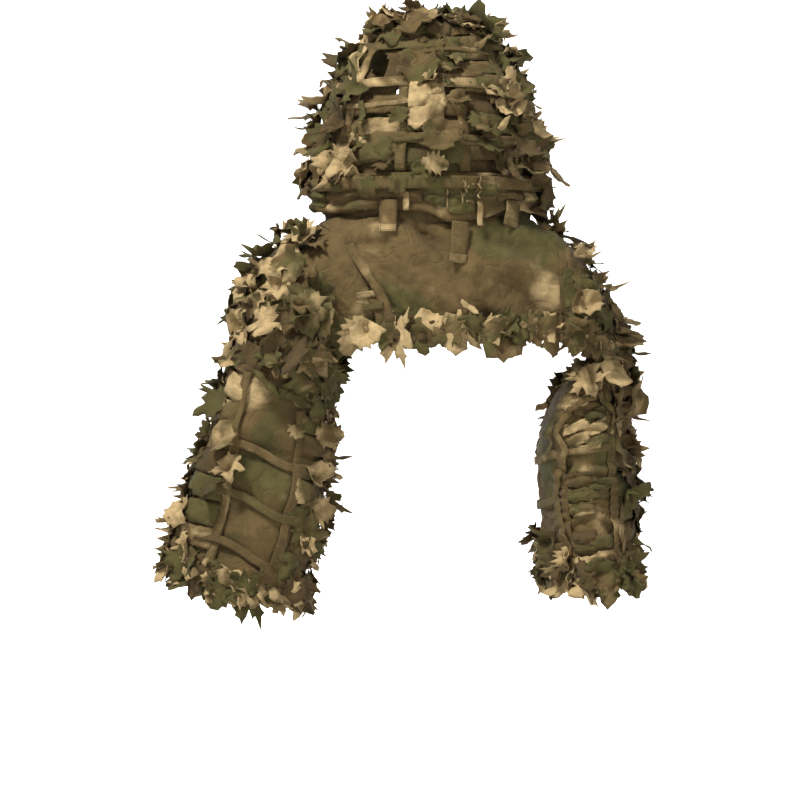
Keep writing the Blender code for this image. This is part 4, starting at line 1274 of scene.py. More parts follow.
def put_leaf(build, ground, u, v, aim, length, kind, chance, tone, lift=None, off=None, curl=None, width=1.0):
    """Adds one leaf with its middle over (u, v). aim is its direction seen from behind, in degrees: 0 hangs
    down and 90 points to +X. A lift, height off the cloth or curl that isn't given is drawn at random."""
    surface = ground.surface
    root, normal = surface.at(u, v, off if off is not None else chance.uniform(0.005, 0.012))
    wish = Vector((math.sin(math.radians(aim)), 0.0, -math.cos(math.radians(aim))))
    along = wish - normal * wish.dot(normal)
    if along.length < 0.25:
        side = Vector((0.0, 0.0, 1.0)).cross(normal)
        along = wish + side * 0.3 - normal * (wish + side * 0.3).dot(normal)
    along.normalize()
    lift = chance.uniform(0.0, 0.42) if lift is None else lift
    across = along.cross(normal).normalized()
    tipped = along * math.cos(lift) + normal * math.sin(lift)
    normal = normal * math.cos(lift) - along * math.sin(lift)
    along = tipped
    points, faces, rim = BLANKS[kind][chance.randrange(BLANK_COUNT)]
    bend = chance.uniform(-0.9, 1.5) if curl is None else curl
    cup = chance.uniform(-0.9, 1.2)
    twist = chance.uniform(-0.9, 0.9)
    crease_turn = chance.uniform(-1.2, 1.2)
    crease_at = chance.uniform(-0.12, 0.12)
    crease = chance.uniform(-0.6, 0.6)
    ripple = chance.uniform(0.07, 0.15)
    seed = chance.uniform(0.0, 40.0)
    flip = chance.choice((-1, 1))
    patch = (chance.uniform(-4.0, 4.0), chance.uniform(-4.0, 4.0))
    made, tones = [], []
    for i, p in enumerate(points):
        x, y = p.x * flip * width, p.y
        angle = bend * (y - 0.1)
        run = math.sin(angle) / bend if abs(bend) > 1e-3 else y - 0.1
        rise = (1 - math.cos(angle)) / bend if abs(bend) > 1e-3 else 0.0
        fold = x * math.cos(crease_turn) + (y - 0.5) * math.sin(crease_turn) - crease_at
        height = rise + cup * x * x + crease * (math.sqrt(fold * fold + 0.002) - 0.05)
        frayed = 0.05 * wobble(x, y, 0.0, 7.0, seed) if i in rim else 0.0
        height += ripple * wobble(x, y, 0.0, 3.1, seed) * 2 + frayed
        turn = twist * (y - 0.4)
        x, height = x * math.cos(turn) - height * math.sin(turn), height * math.cos(turn) + x * math.sin(turn)
        spot = root + across * (x * length) + along * ((run - 0.40) * length) + normal * (height * length)
        made.append(inside_limits(ground.clear(spot, LEAF_GAP)))
        tan, olive, shade = tone
        tones.append((tan, olive, clamp(shade + (0.14 if i in rim else 0.0) + chance.uniform(-0.02, 0.02))))
    cloth = [(p.x * length + patch[0], p.y * length + patch[1]) for p in points]
    build.add(made, [tuple(face) for face in faces], cloth, tones)


LOWEST, HIGHEST = (Vector(corner) for corner in CAD_BOX)
# How far leaves may stand outside the frame's box along X, Y and Z
GROWTH = Vector((0.026, 0.013, 0.028))


def inside_limits(point):
    """Eases a point back towards the frame's box once it stands too far outside."""
    eased = point.copy()
    for axis in range(3):
        for limit, sign in ((LOWEST[axis], -1), (HIGHEST[axis], 1)):
            beyond = (eased[axis] - limit) * sign
            if beyond > 0:
                eased[axis] = limit + sign * GROWTH[axis] * (1 - math.exp(-beyond / GROWTH[axis]))
    return eased


def jitter(tone, chance, amount=0.10):
    """The tone, each part moved at random by up to the amount."""
    return tuple(clamp(value + chance.uniform(-amount, amount)) for value in tone)


def scatter(build, ground, count, place, aim, chance, lengths, kinds=KINDS, **settings):
    """Leaves at random: place gives a (u, v) or None to skip, and aim the direction at (u, v)."""
    for _ in range(count):
        spot = place(chance)
        length, kind = chance.uniform(*lengths), chance.choice(kinds)
        tone = jitter(chance.choice(MIX), chance)
        if spot:
            put_leaf(build, ground, *spot, aim(*spot, chance), length, kind, chance, tone, **settings)


def heroes(build, ground, us, vs, rows, chance):
    """Leaves placed by where they show from behind: x, z, aim, length, kind, tone, lift."""
    for x, z, aim, length, kind, tone, lift in rows:
        u, v = ground.surface.find(x, z, us, vs)
        tone = jitter(tone, chance, 0.05)
        put_leaf(build, ground, u, v, aim, length, kind, chance, tone, lift=lift, off=0.013)


def sway(low, high):
    """Directions drawn between two angles in degrees, wherever the leaf is."""
    return lambda u, v, chance: chance.uniform(low, high)


HOOD_GROUND = Ground(HOOD, (-2.3, 2.3), (0.0, 0.985), 90, 60)
BACK_GROUND = Ground(BACK, (-0.197, 0.165), (0.35, math.pi / 2), 60, 40)
LEFT_GROUND = Ground(LEFT, (0.0, 2 * math.pi), (0.0, CUFF), 60, 70)
RIGHT_GROUND = Ground(RIGHT, (0.0, 2 * math.pi), (0.0, CUFF), 60, 70)
leaves = {key: [] for key in BENDS}


def leaf_piece(name, group, build, node):
    piece = build.make(name, LEAF, LEAF_THICKNESS)
    attach(piece, "yoke", BENDS[group], [node] if node else ())
    leaves[group].append(piece)
    return piece


# ---- hood

chance = random.Random(21)
# Single leaves in the order that heroes() reads them
HOOD_HEROES = {
    "crown": [
        (0.023, 0.290, 175, 0.034, "strip", LIGHT, 0.7), (-0.039, 0.290, -100, 0.054, "maple", MOSS, 0.1),
        (0.042, 0.283, 60, 0.050, "broad", LIGHT, 0.1), (0.076, 0.280, 140, 0.046, "star", UMBER, 0.3),
        (0.083, 0.262, 20, 0.060, "strip", LIGHT, 0.1), (-0.095, 0.268, -75, 0.042, "holly", LIGHT, 0.4),
        (-0.086, 0.282, 185, 0.036, "strip", KHAKI, 0.7), (0.006, 0.277, -88, 0.050, "patch", SAND, 0.0),
        (-0.115, 0.247, -60, 0.045, "jagged", KHAKI, 0.4), (0.062, 0.275, -50, 0.052, "maple", SAND, 0.1),
        (0.105, 0.258, 35, 0.050, "oak", KHAKI, 0.3), (-0.060, 0.280, -100, 0.045, "jagged", MOSS, 0.3),
    ],
    "left": [
        (0.106, 0.222, 8, 0.066, "broad", LIGHT, 0.1), (0.128, 0.234, 80, 0.045, "holly", UMBER, 0.5),
        (0.150, 0.172, 25, 0.064, "broad", SAND, 0.25), (0.098, 0.180, -80, 0.058, "maple", MOSS, 0.1),
        (0.128, 0.178, -10, 0.052, "oak", MOSS, 0.1), (0.152, 0.140, -15, 0.055, "jagged", KHAKI, 0.2),
        (0.168, 0.112, 15, 0.056, "broad", SAND, 0.4), (0.116, 0.134, -55, 0.056, "maple", UMBER, 0.1),
        (0.086, 0.141, -10, 0.050, "strip", KHAKI, 0.3), (0.093, 0.113, -60, 0.034, "strip", LIGHT, 0.2),
        (0.116, 0.078, -38, 0.082, "maple", SAND, 0.1), (0.166, 0.072, 65, 0.044, "patch", LIGHT, 0.5),
        (0.140, 0.100, 30, 0.050, "star", UMBER, 0.2), (0.160, 0.052, 20, 0.044, "holly", UMBER, 0.4),
        (0.132, 0.205, 20, 0.040, "jagged", KHAKI, 0.5), (0.168, 0.148, 70, 0.042, "star", UMBER, 0.5),
    ],
    "nape": [
        (0.006, 0.141, -6, 0.040, "maple", SAND, 0.2), (0.014, 0.213, 0, 0.066, "broad", KHAKI, 0.0),
        (-0.004, 0.196, -60, 0.030, "holly", SAND, 0.2), (-0.016, 0.108, 5, 0.058, "patch", KHAKI, 0.0),
        (-0.074, 0.176, 75, 0.050, "strip", LIGHT, 0.2), (-0.066, 0.132, -20, 0.046, "jagged", KHAKI, 0.1),
        (0.060, 0.100, -15, 0.046, "jagged", MOSS, 0.0), (-0.010, 0.076, -80, 0.044, "jagged", SAND, 0.1),
        (-0.080, 0.105, 15, 0.060, "oak", MOSS, 0.1), (0.040, 0.052, 70, 0.040, "jagged", KHAKI, 0.2),
        (-0.095, 0.070, 20, 0.050, "holly", UMBER, 0.3), (0.078, 0.052, 70, 0.046, "oak", KHAKI, 0.2),
    ],
    "right": [
        (-0.104, 0.222, -60, 0.040, "maple", MOSS, 0.3), (-0.122, 0.172, -110, 0.050, "star", SAND, 0.3),
        (-0.138, 0.122, -85, 0.070, "maple", KHAKI, 0.20), (-0.146, 0.088, -95, 0.050, "broad", SAND, 0.3),
        (-0.154, 0.044, -118, 0.070, "jagged", UMBER, 0.35), (-0.118, 0.140, -60, 0.055, "oak", MOSS, 0.2),
        (-0.126, 0.095, -30, 0.058, "jagged", UMBER, 0.2), (-0.112, 0.190, -30, 0.050, "jagged", SAND, 0.2),
        (-0.108, 0.068, -10, 0.062, "strip", UMBER, 0.2), (-0.132, 0.150, -50, 0.044, "holly", KHAKI, 0.2),
        (-0.145, 0.060, -20, 0.060, "oak", KHAKI, 0.3), (-0.096, 0.128, -140, 0.045, "strip", LIGHT, 0.2),
    ],
}


def hood_place(theta_range, lift_range, bare=0.0):
    """A place on the hood, off its face opening and gaps, with a share of the nape's middle left bare."""

    def place(chance):
        theta, lift = chance.uniform(*theta_range), chance.uniform(*lift_range)
        point = HOOD.point(theta, lift)
        if point.y < face_y(point.z) + 0.030:
            return None
        if in_gap(point, 0.020):
            return None
        if abs(theta + 0.05) < 0.62 and lift < 0.70 and chance.random() < bare:
            return None
        return theta, lift

    return place


def away_from_middle(theta, lift, chance):
    return math.degrees(clamp(theta, -1.3, 1.3)) * 0.75 + chance.uniform(-70, 70)


# Each part of the hood: leaf count, angles, lifts, the share left bare, and leaf lengths
HOOD_REGIONS = {
    "crown": (30, (-2.6, 2.6), (0.64, 0.94), 0.0, (0.038, 0.056)),
    "left": (62, (0.60, 2.15), (0.06, 0.74), 0.0, (0.046, 0.072)),
    "nape": (20, (-0.70, 0.62), (0.05, 0.66), 0.60, (0.030, 0.044)),
    "right": (56, (-2.15, -0.76), (0.06, 0.74), 0.0, (0.044, 0.070)),
}
SHRED_COUNT = 13
for name, (count, thetas, lifts, bare, lengths) in HOOD_REGIONS.items():
    build = Build()
    if name == "nape":
        for _ in range(SHRED_COUNT):
            x, z = -0.058 + chance.uniform(-0.016, 0.016), 0.043 + chance.uniform(-0.014, 0.014)
            aim = chance.uniform(0, 360)
            u, v = HOOD.find(x, z, (-0.9, 0.3), (0.0, 0.3))
            shred = {"lift": 0.25, "off": 0.011, "curl": chance.uniform(-3.2, 3.2), "width": 0.5}
            put_leaf(build, HOOD_GROUND, u, v, aim, 0.021, "strip", chance, SAND, **shred)
    settings = {"lift": 0.10, "kinds": LOBED_KINDS} if name == "crown" else {}
    place = hood_place(thetas, lifts, bare)
    scatter(build, HOOD_GROUND, count, place, away_from_middle, chance, lengths, **settings)
    heroes(build, HOOD_GROUND, (-1.55, 1.55), (0.0, 0.97), HOOD_HEROES[name], chance)
    leaf_piece(f"hood_leaves_{name}", "hood", build, f"hood_leaf_garland_{name}")

# ---- hem of the back

HEM_HEROES = [
    (-0.003, -0.146, -62, 0.050, "patch", LIGHT, 0.1), (-0.040, -0.165, 3, 0.078, "maple", SAND, 0.05),
    (-0.068, -0.147, -85, 0.050, "jagged", KHAKI, 0.1), (-0.108, -0.172, -88, 0.072, "broad", KHAKI, 0.1),
    (0.036, -0.176, -84, 0.074, "maple", LIGHT, 0.14), (0.062, -0.186, 2, 0.050, "star", KHAKI, 0.1),
    (0.086, -0.176, 30, 0.046, "patch", LIGHT, 0.1), (0.104, -0.194, 22, 0.062, "jagged", SAND, 0.1),
    (0.010, -0.176, -8, 0.056, "jagged", KHAKI, 0.1), (-0.150, -0.142, -88, 0.048, "holly", SAND, 0.1),
    (-0.172, -0.172, 8, 0.066, "maple", KHAKI, 0.05), (-0.058, -0.126, -50, 0.036, "strip", LIGHT, 0.2),
    (-0.085, -0.158, -30, 0.048, "star", LIGHT, 0.15), (0.024, -0.158, -60, 0.050, "maple", UMBER, 0.0),
    (-0.128, -0.152, 20, 0.052, "oak", MOSS, 0.1), (-0.020, -0.160, 60, 0.050, "oak", KHAKI, 0.0),
]


def hem_place(chance):
    x = chance.uniform(-0.182, 0.092)
    return x, yoke_angle(x, chance.uniform(-0.164, -0.146))


build = Build()
heroes(build, BACK_GROUND, (-0.190, 0.118), (0.9, math.pi / 2), HEM_HEROES, chance)
scatter(build, BACK_GROUND, 14, hem_place, sway(-70, 50), chance, (0.036, 0.054), lift=0.05)
leaf_piece("hem_leaves", "yoke", build, "hem_leaf_garland")

# ---- front panels, beside the armholes

front_leaves = {}
for side, sign in (("left", 1), ("right", -1)):
    ground = Ground(FRONT, (0.06, 0.160) if sign > 0 else (-0.197, -0.06), (0.35, math.pi / 2), 40, 40)
    build = Build()
    outer = 0.122 if sign > 0 else 0.178

    def front_place(chance):
        z = chance.uniform(-0.146, 0.006)
        x = sign * (outer - 0.036 * chance.random() ** 1.6 + (0.10 * (z + 0.07) if sign > 0 else 0.0))
        return x, yoke_angle(x, z)

    scatter(build, ground, 22, front_place, sway(-75, 75), chance, (0.034, 0.056), lift=0.12)
    front_leaves[side] = leaf_piece(f"front_leaves_{side}", "yoke", build, None)
    leaves["yoke"].remove(front_leaves[side])

# ---- sleeves

LEFT_SHOULDER = [
    (0.208, -0.028, 150, 0.046, "strip", UMBER, 0.9), (0.172, -0.030, -130, 0.056, "oak", MOSS, 0.3),
    (0.207, -0.062, 48, 0.074, "broad", SAND, 0.2), (0.203, -0.102, 5, 0.038, "maple", LIGHT, 0.3),
    (0.221, -0.146, -4, 0.066, "maple", SAND, 0.2), (0.258, -0.136, 60, 0.064, "jagged", SAND, 0.3),
    (0.166, -0.132, -12, 0.074, "maple", KHAKI, 0.1), (0.252, -0.166, 0, 0.040, "holly", LIGHT, 0.3),
    (0.219, -0.188, -25, 0.062, "oak", MOSS, 0.3), (0.180, -0.176, 10, 0.058, "jagged", KHAKI, 0.2),
    (0.246, -0.104, 35, 0.054, "jagged", KHAKI, 0.3), (0.256, -0.092, 75, 0.044, "star", UMBER, 0.5),
    (0.236, -0.072, 120, 0.046, "oak", KHAKI, 0.4), (0.190, -0.070, -30, 0.060, "broad", KHAKI, 0.1),
    (0.158, -0.075, -60, 0.040, "holly", KHAKI, 0.2), (0.156, -0.190, 10, 0.050, "jagged", KHAKI, 0.1),
    (0.146, -0.205, -10, 0.046, "holly", SAND, 0.1), (0.190, -0.140, 30, 0.052, "star", UMBER, 0.2),
    (0.243, -0.196, 20, 0.055, "maple", UMBER, 0.2), (0.160, -0.222, -40, 0.058, "strip", MOSS, 0.3),
]
LEFT_ARM = [
    (0.2736, -0.350, -8, 0.048, "maple", SAND, 0.2), (0.279, -0.311, -30, 0.054, "broad", KHAKI, 0.05),
    (0.222, -0.228, -45, 0.056, "strip", MOSS, 0.2), (0.191, -0.298, -40, 0.034, "oak", KHAKI, 0.3),
    (0.158, -0.300, -75, 0.050, "jagged", SAND, 0.3), (0.166, -0.262, -30, 0.054, "oak", MOSS, 0.2),
    (0.190, -0.248, -60, 0.056, "strip", MOSS, 0.2), (0.164, -0.352, -95, 0.044, "patch", SAND, 0.1),
    (0.166, -0.405, -80, 0.060, "jagged", SAND, 0.2), (0.178, -0.440, -80, 0.064, "star", KHAKI, 0.3),
    (0.340, -0.416, 92, 0.050, "patch", LIGHT, 0.1), (0.350, -0.432, 70, 0.044, "broad", SAND, 0.4),
    (0.300, -0.380, -20, 0.050, "jagged", UMBER, 0.1), (0.152, -0.330, -60, 0.050, "star", KHAKI, 0.3),
]
LEFT_CUFF = [
    (0.338, -0.463, -30, 0.054, "holly", LIGHT, 0.2), (0.358, -0.470, 45, 0.064, "jagged", KHAKI, 0.35),
    (0.366, -0.490, 60, 0.050, "star", UMBER, 0.4), (0.330, -0.515, 20, 0.070, "star", UMBER, 0.1),
    (0.290, -0.535, 38, 0.066, "jagged", MOSS, 0.1), (0.298, -0.514, -40, 0.038, "strip", LIGHT, 0.2),
    (0.246, -0.526, -88, 0.076, "maple", MOSS, 0.1), (0.222, -0.545, 18, 0.054, "holly", KHAKI, 0.1),
    (0.197, -0.535, 0, 0.044, "strip", UMBER, 0.2), (0.184, -0.512, -70, 0.052, "strip", UMBER, 0.4),
    (0.208, -0.492, 50, 0.050, "broad", KHAKI, 0.1), (0.268, -0.530, 0, 0.056, "oak", MOSS, 0.1),
    (0.312, -0.500, 40, 0.060, "maple", KHAKI, 0.1), (0.190, -0.470, -60, 0.056, "maple", UMBER, 0.2),
    (0.344, -0.500, 20, 0.056, "oak", MOSS, 0.2), (0.236, -0.505, 20, 0.052, "jagged", UMBER, 0.1),
]
RIGHT_SHOULDER = [
    (-0.186, -0.034, -120, 0.052, "strip", UMBER, 0.4), (-0.215, -0.060, -70, 0.050, "maple", SAND, 0.35),
    (-0.232, -0.088, -55, 0.046, "star", KHAKI, 0.4), (-0.250, -0.122, -45, 0.056, "jagged", KHAKI, 0.35),
    (-0.262, -0.156, -70, 0.060, "maple", MOSS, 0.35), (-0.266, -0.186, -80, 0.056, "star", MOSS, 0.4),
    (-0.240, -0.142, -30, 0.064, "oak", MOSS, 0.2), (-0.2175, -0.116, -80, 0.044, "patch", SAND, 0.1),
    (-0.212, -0.160, 10, 0.060, "maple", KHAKI, 0.1), (-0.228, -0.176, -10, 0.052, "star", UMBER, 0.2),
    (-0.212, -0.090, -40, 0.050, "oak", KHAKI, 0.1), (-0.205, -0.140, 40, 0.046, "jagged", KHAKI, 0.1),
    (-0.250, -0.212, 10, 0.064, "broad", LIGHT, 0.1), (-0.2225, -0.226, -25, 0.054, "maple", SAND, 0.30),
    (-0.238, -0.110, -110, 0.044, "holly", UMBER, 0.3), (-0.262, -0.200, -20, 0.048, "jagged", UMBER, 0.3),
]
RIGHT_ARM = [
    (-0.274, -0.283, -82, 0.066, "maple", KHAKI, 0.5), (-0.276, -0.318, -60, 0.042, "jagged", UMBER, 0.6),
    (-0.272, -0.240, -100, 0.040, "holly", UMBER, 0.5), (-0.280, -0.385, -150, 0.064, "jagged", MOSS, 0.5),
    (-0.286, -0.415, -120, 0.044, "strip", UMBER, 0.6), (-0.284, -0.455, -40, 0.056, "strip", KHAKI, 0.4),
    (-0.264, -0.262, 8, 0.058, "jagged", KHAKI, 0.1), (-0.262, -0.330, 0, 0.060, "strip", KHAKI, 0.1),
    (-0.184, -0.290, 15, 0.040, "strip", KHAKI, 0.1), (-0.184, -0.318, 0, 0.046, "strip", KHAKI, 0.1),
    (-0.278, -0.360, -60, 0.050, "star", UMBER, 0.5), (-0.200, -0.478, 2, 0.040, "jagged", LIGHT, 0.10),
]
RIGHT_CUFF = [
    (-0.275, -0.495, -12, 0.060, "star", KHAKI, 0.3), (-0.248, -0.508, 4, 0.076, "maple", KHAKI, 0.05),
    (-0.190, -0.500, 28, 0.048, "jagged", SAND, 0.3), (-0.208, -0.508, 0, 0.030, "strip", UMBER, 0.1),
    (-0.176, -0.445, 100, 0.056, "star", KHAKI, 0.6), (-0.180, -0.472, 60, 0.050, "jagged", MOSS, 0.4),
    (-0.280, -0.470, -50, 0.052, "oak", KHAKI, 0.4), (-0.225, -0.495, -30, 0.050, "oak", UMBER, 0.1),
    (-0.270, -0.512, -30, 0.050, "jagged", MOSS, 0.3), (-0.192, -0.490, 50, 0.050, "maple", UMBER, 0.3),
]


def hanging(side, swing):
    """Directions that hang and lean out from the arm, each turned by up to swing degrees."""
    lean = 1 if side == "left" else -1
    return lambda u, v, chance: lean * math.degrees(0.35 * math.cos(u)) + chance.uniform(-swing, swing)


def arm_place(side, *bands):
    """A place in one of the bands (thetas, stations), clear of the vent and of the chest beside the arm."""
    surface, vent = (LEFT, LEFT_VENT) if side == "left" else (RIGHT, RIGHT_VENT)

    def place(chance):
        thetas, span = chance.choice(bands)
        theta, s = chance.uniform(*thetas), chance.uniform(*span)
        point = surface.point(theta, s)
        if side == "left":
            by_chest = s < 3.0 and point.x < 0.138 and point.y > 0
        else:
            by_chest = 0.8 < s < 3.4 and 2.2 < theta < 4.6
        return None if by_chest or inside_vent(point, vent) else (theta, s)

    return place


# Each sleeve: its ground and single leaves, the number of leaves on the shoulder, and the number and place of
# those down the arm's inner side
SLEEVES = {
    "left": (LEFT_GROUND, LEFT_SHOULDER, LEFT_ARM, LEFT_CUFF, 84, 30, ((2.5, 3.7), (3.2, 7.4))),
    "right": (RIGHT_GROUND, RIGHT_SHOULDER, RIGHT_ARM, RIGHT_CUFF, 64, 14, ((2.9, 4.1), (6.5, 7.5))),
}
BACK_HALF = (0.02, math.pi - 0.02)
SHOULDER_RING = ((0.0, TURN), (0.35, 3.1))
CUFF_RING = ((0.0, TURN), (7.40, 8.0))
ARM_EDGES = [((-0.75, 0.45), (3.0, 7.4)), ((-2.5, -0.7), (3.0, 7.4))]
for side, (ground, shoulder, arm, cuff, shoulder_count, inner_count, inner) in SLEEVES.items():
    build = Build()
    place = arm_place(side, SHOULDER_RING)
    scatter(build, ground, shoulder_count, place, hanging(side, 60), chance, (0.048, 0.076))
    heroes(build, ground, BACK_HALF, (0.25, 3.6), shoulder, chance)
    leaf_piece(f"{side}_shoulder_leaves", side, build, f"{side}_shoulder_leaf_garland")
    build = Build()
    scatter(build, ground, 64, arm_place(side, *ARM_EDGES), hanging(side, 75), chance, (0.040, 0.066))
    place = arm_place(side, inner)
    scatter(build, ground, inner_count, place, hanging(side, 60), chance, (0.034, 0.052), lift=0.04)
    heroes(build, ground, BACK_HALF, (2.4, 7.8), arm, chance)
    leaf_piece(f"{side}_arm_leaves", side, build, None)
    build = Build()
    place = arm_place(side, CUFF_RING)
    scatter(build, ground, 52, place, hanging(side, 50), chance, (0.040, 0.062), lift=0.10)
    heroes(build, ground, BACK_HALF, (6.5, 8.0), cuff, chance)
    leaf_piece(f"{side}_cuff_leaves", side, build, f"{side}_cuff_leaf_garland")

# ---------------------------------------------------------------- second layer of cloth between the tapes


def cell(build, surface, us, vs, chance, tone, off=0.0035, puff=0.006, ragged=0.0025):
    """A loose rectangle of cloth between two tapes, held at its ends and puffed out in its middle."""
    rows, columns = 9, 11
    seed = chance.uniform(0.0, 50.0)
    lean, sag, roll = chance.uniform(-0.10, 0.10), chance.uniform(-0.05, 0.20), chance.uniform(-1.0, 1.0)
    spots = []
    for r in range(rows):
        b = r / (rows - 1)
        row = []
        for c in range(columns):
            a = c / (columns - 1)
            arch = math.sin(math.pi * a)
            v = vs[0] + (vs[1] - vs[0]) * (b + lean * (a - 0.5) + sag * arch * (0.5 - abs(b - 0.5)))
            u = us[0] + (us[1] - us[0]) * a
            edge = ragged * wobble(a * 6, b * 6, 0.0, 1.0, seed) * (1 if r in (0, rows - 1) else 0.3)
            height = off + puff * arch**0.7 * math.sin(math.pi * (0.12 + 0.76 * b))
            height += 0.0036 * wobble(a * 3.0, b * 2.0, 0.0, 1.5, seed) + 0.003 * roll * (b - 0.5) * arch
            point = surface.at(u, v, max(height, 0.0022))[0]
            row.append(point + Vector((0.0, 0.0, edge)))
        spots.append(row)
    build.grid(spots, tone, shift=(chance.uniform(-4, 4), chance.uniform(-4, 4)))


def cells(name, group, surface, bays, bands, chance, shown=0.85, skip=None, **settings):
    """Cells in every bay (u from, u to) of every band (v from, v to), with some left out to show the dark
    cloth behind. shown is the share kept, and skip says where none may be."""
    build = Build()
    for us in bays:
        slip = chance.uniform(-0.45, 0.45) * (bands[1][1] - bands[1][0])
        for low, high in bands:
            vs = (low + slip, high + slip + chance.uniform(-0.1, 0.1) * (high - low))
            tone = jitter(chance.choice([SAND] + [KHAKI] * 3 + [MOSS, UMBER]), chance, 0.12)
            middle = surface.point(sum(us) / 2, sum(vs) / 2)
            if chance.random() > shown or (skip and skip(middle)):
                continue
            gap_u, gap_v = (us[1] - us[0]) * 0.02, (vs[1] - vs[0]) * chance.uniform(0.03, 0.14)
            inner_us = (us[0] + gap_u, us[1] - gap_u)
            cell(build, surface, inner_us, (vs[0] + gap_v, vs[1] - gap_v * 0.5), chance, tone, **settings)
    return attach(build.make(name, LEAF, CELL_THICKNESS), "yoke", BENDS[group])


def skirt_details(chance):
    """Folded scraps of cloth and two small pull tabs sewn round the skirt."""
    build = Build()
    edges = [-1.75, -1.42, -1.18, -0.93, -0.62, -0.42, -0.16, 0.05, 0.30, 0.52, 0.78, 1.06, 1.30, 1.62]
    for us in neighbours(edges):
        for low, high in ((0.10, 0.46), (0.42, 0.80)):
            if chance.random() < 0.72:
                tone = jitter(chance.choice([SAND, KHAKI, KHAKI, MOSS, UMBER]), chance, 0.12)
                vs = (low + chance.uniform(-0.06, 0.06), high + chance.uniform(-0.08, 0.06))
                by_tab = 0.2 < us[0] < 0.6
                off, puff = (0.0026, 0.001) if by_tab else (0.0065, 0.005)
                cell(build, SKIRT, (us[0] + 0.008, us[1] - 0.008), vs, chance, tone, off=off, puff=puff)
    for theta, top, end in ((0.185, 0.42, 1.02), (-0.44, 0.62, 1.16)):
        way = [SKIRT.at(theta, t, 0.0120) for t in spread(top, end, 9)]
        ribbon(build, way, 0.0085, SAND, waver=0.002, seed=theta * 10)
    return attach(build.make("skirt_details", LEAF, CELL_THICKNESS), "yoke", HOOD_BEND)


def not_on_hood(point):
    return in_gap(point, 0.014) or point.y < face_y(point.z) + 0.05


chance = random.Random(5)
HOOD_BAYS = neighbours([-1.75, -1.30, -0.88, -0.32, -0.04, 0.245, 0.80, 1.28, 1.75])
HOOD_BANDS = neighbours(spread(0.075, 0.78, 10))
hood_cells = cells(
    "hood_ladder_cloth", "hood", HOOD, HOOD_BAYS, HOOD_BANDS, chance, shown=0.88, skip=not_on_hood
)
skirt_cells = skirt_details(chance)


def edge_loops():
    """Narrow tape that leaves the inner side of the left arm in open loops between its stitches."""
    build = Build()
    for theta, seed in ((2.95, 1.0), (3.25, 4.0)):
        way = []
        for s in spread(3.1, 6.9, 120):
            phase = s * 1.7 + seed * 0.21
            swing = 0.10 * math.sin(2 * math.pi * phase)
            way.append(LEFT.at(theta + swing, s, 0.004 + 0.0095 * abs(math.sin(math.pi * phase))))
        ribbon(build, way, 0.0045, TAPE_TONES[0], seed=seed)
    return attach(build.make("left_arm_loops", TAPE, CELL_THICKNESS), "yoke", LEFT_BEND)


loops = edge_loops()


def nape_cloth(chance):
    """Three light rows of cloth sewn one over another at the middle of the hood, with a ragged lower edge."""
    build = Build()
    for top, low, ragged in ((0.192, 0.172, 0.002), (0.176, 0.156, 0.002), (0.160, 0.128, 0.007)):
        vs = (hood_lift(low), hood_lift(top))
        tone = jitter(SAND, chance, 0.06)
        us = (-0.165 + 0.03 * chance.random(), 0.19)
        cell(build, HOOD, us, vs, chance, tone, off=0.0100, puff=0.003, ragged=ragged)
    return attach(build.make("nape_cloth", LEAF, CELL_THICKNESS), "yoke", HOOD_BEND)


def near_vent(vent):
    """Whether a place is inside the vent, or just below it."""
    return lambda point: inside_vent(point + Vector((0.0, 0.0, 0.02)), vent)


nape_piece = nape_cloth(chance)
OUTER_BAYS = [(-0.35, 0.30), (0.30, 1.05)]
INNER_BAYS = [(2.10, 2.75), (2.75, 3.35)]
FRONT_BAYS = [(4.2, 4.84), (4.84, 5.6)]
SLEEVE_BANDS = neighbours([2.6, 3.2, 3.75, 4.25, 4.75, 5.25, 5.75, 6.25, 6.75, 7.25, 7.7])
GATHERED_BANDS = neighbours(spread(3.3, 7.5, 15))
left_cells = cells(
    "left_ladder_cloth", "left", LEFT, OUTER_BAYS + INNER_BAYS + FRONT_BAYS, SLEEVE_BANDS, chance,
    shown=0.72, skip=near_vent(LEFT_VENT), puff=0.005,
)
middle_cells = cells(
    "right_gathered_cloth", "right", RIGHT, [(1.06, 1.62), (1.50, 2.08)], GATHERED_BANDS, chance,
    shown=0.60, off=0.0030, puff=0.0045, ragged=0.0035,
)
right_cells = cells(
    "right_ladder_cloth", "right", RIGHT, OUTER_BAYS + FRONT_BAYS, SLEEVE_BANDS, chance,
    shown=0.62, skip=near_vent(RIGHT_VENT), puff=0.005,
)

# ---------------------------------------------------------------- tabs, straps, buckle and eyelets

# Each tab, named as its node and body are: the middle of its top edge, the direction across it, its outward
# direction, its length and its tone
TABS = {
    "tab_left": (
        (0.056, 0.10898, 0.029), (0.966489, -0.256709, 0.0), (0.255302, 0.961194, 0.104528), 0.045,
        TAPE_TONES[0],
    ),
    "tab_centre": (
        (-0.045, 0.10877, -0.002), (0.972756, 0.206928, 0.104528), (-0.22266, 0.959478, 0.172697), 0.060,
        TAPE_TONES[0],
    ),
    "tab_right": (
        (-0.120, 0.08153, 0.028), (0.764703, 0.597246, 0.241922), (-0.632088, 0.768231, 0.101424), 0.038,
        TAPE_TONES[2],
    ),
}
TAB_WIDTH = 0.025

# Stitches of tabs and straps: how far from the middle, their spacing, and their length and width
STITCH_AT = 0.0100
HEAVY_STITCH = (0.0036, (0.0024, 0.0007))


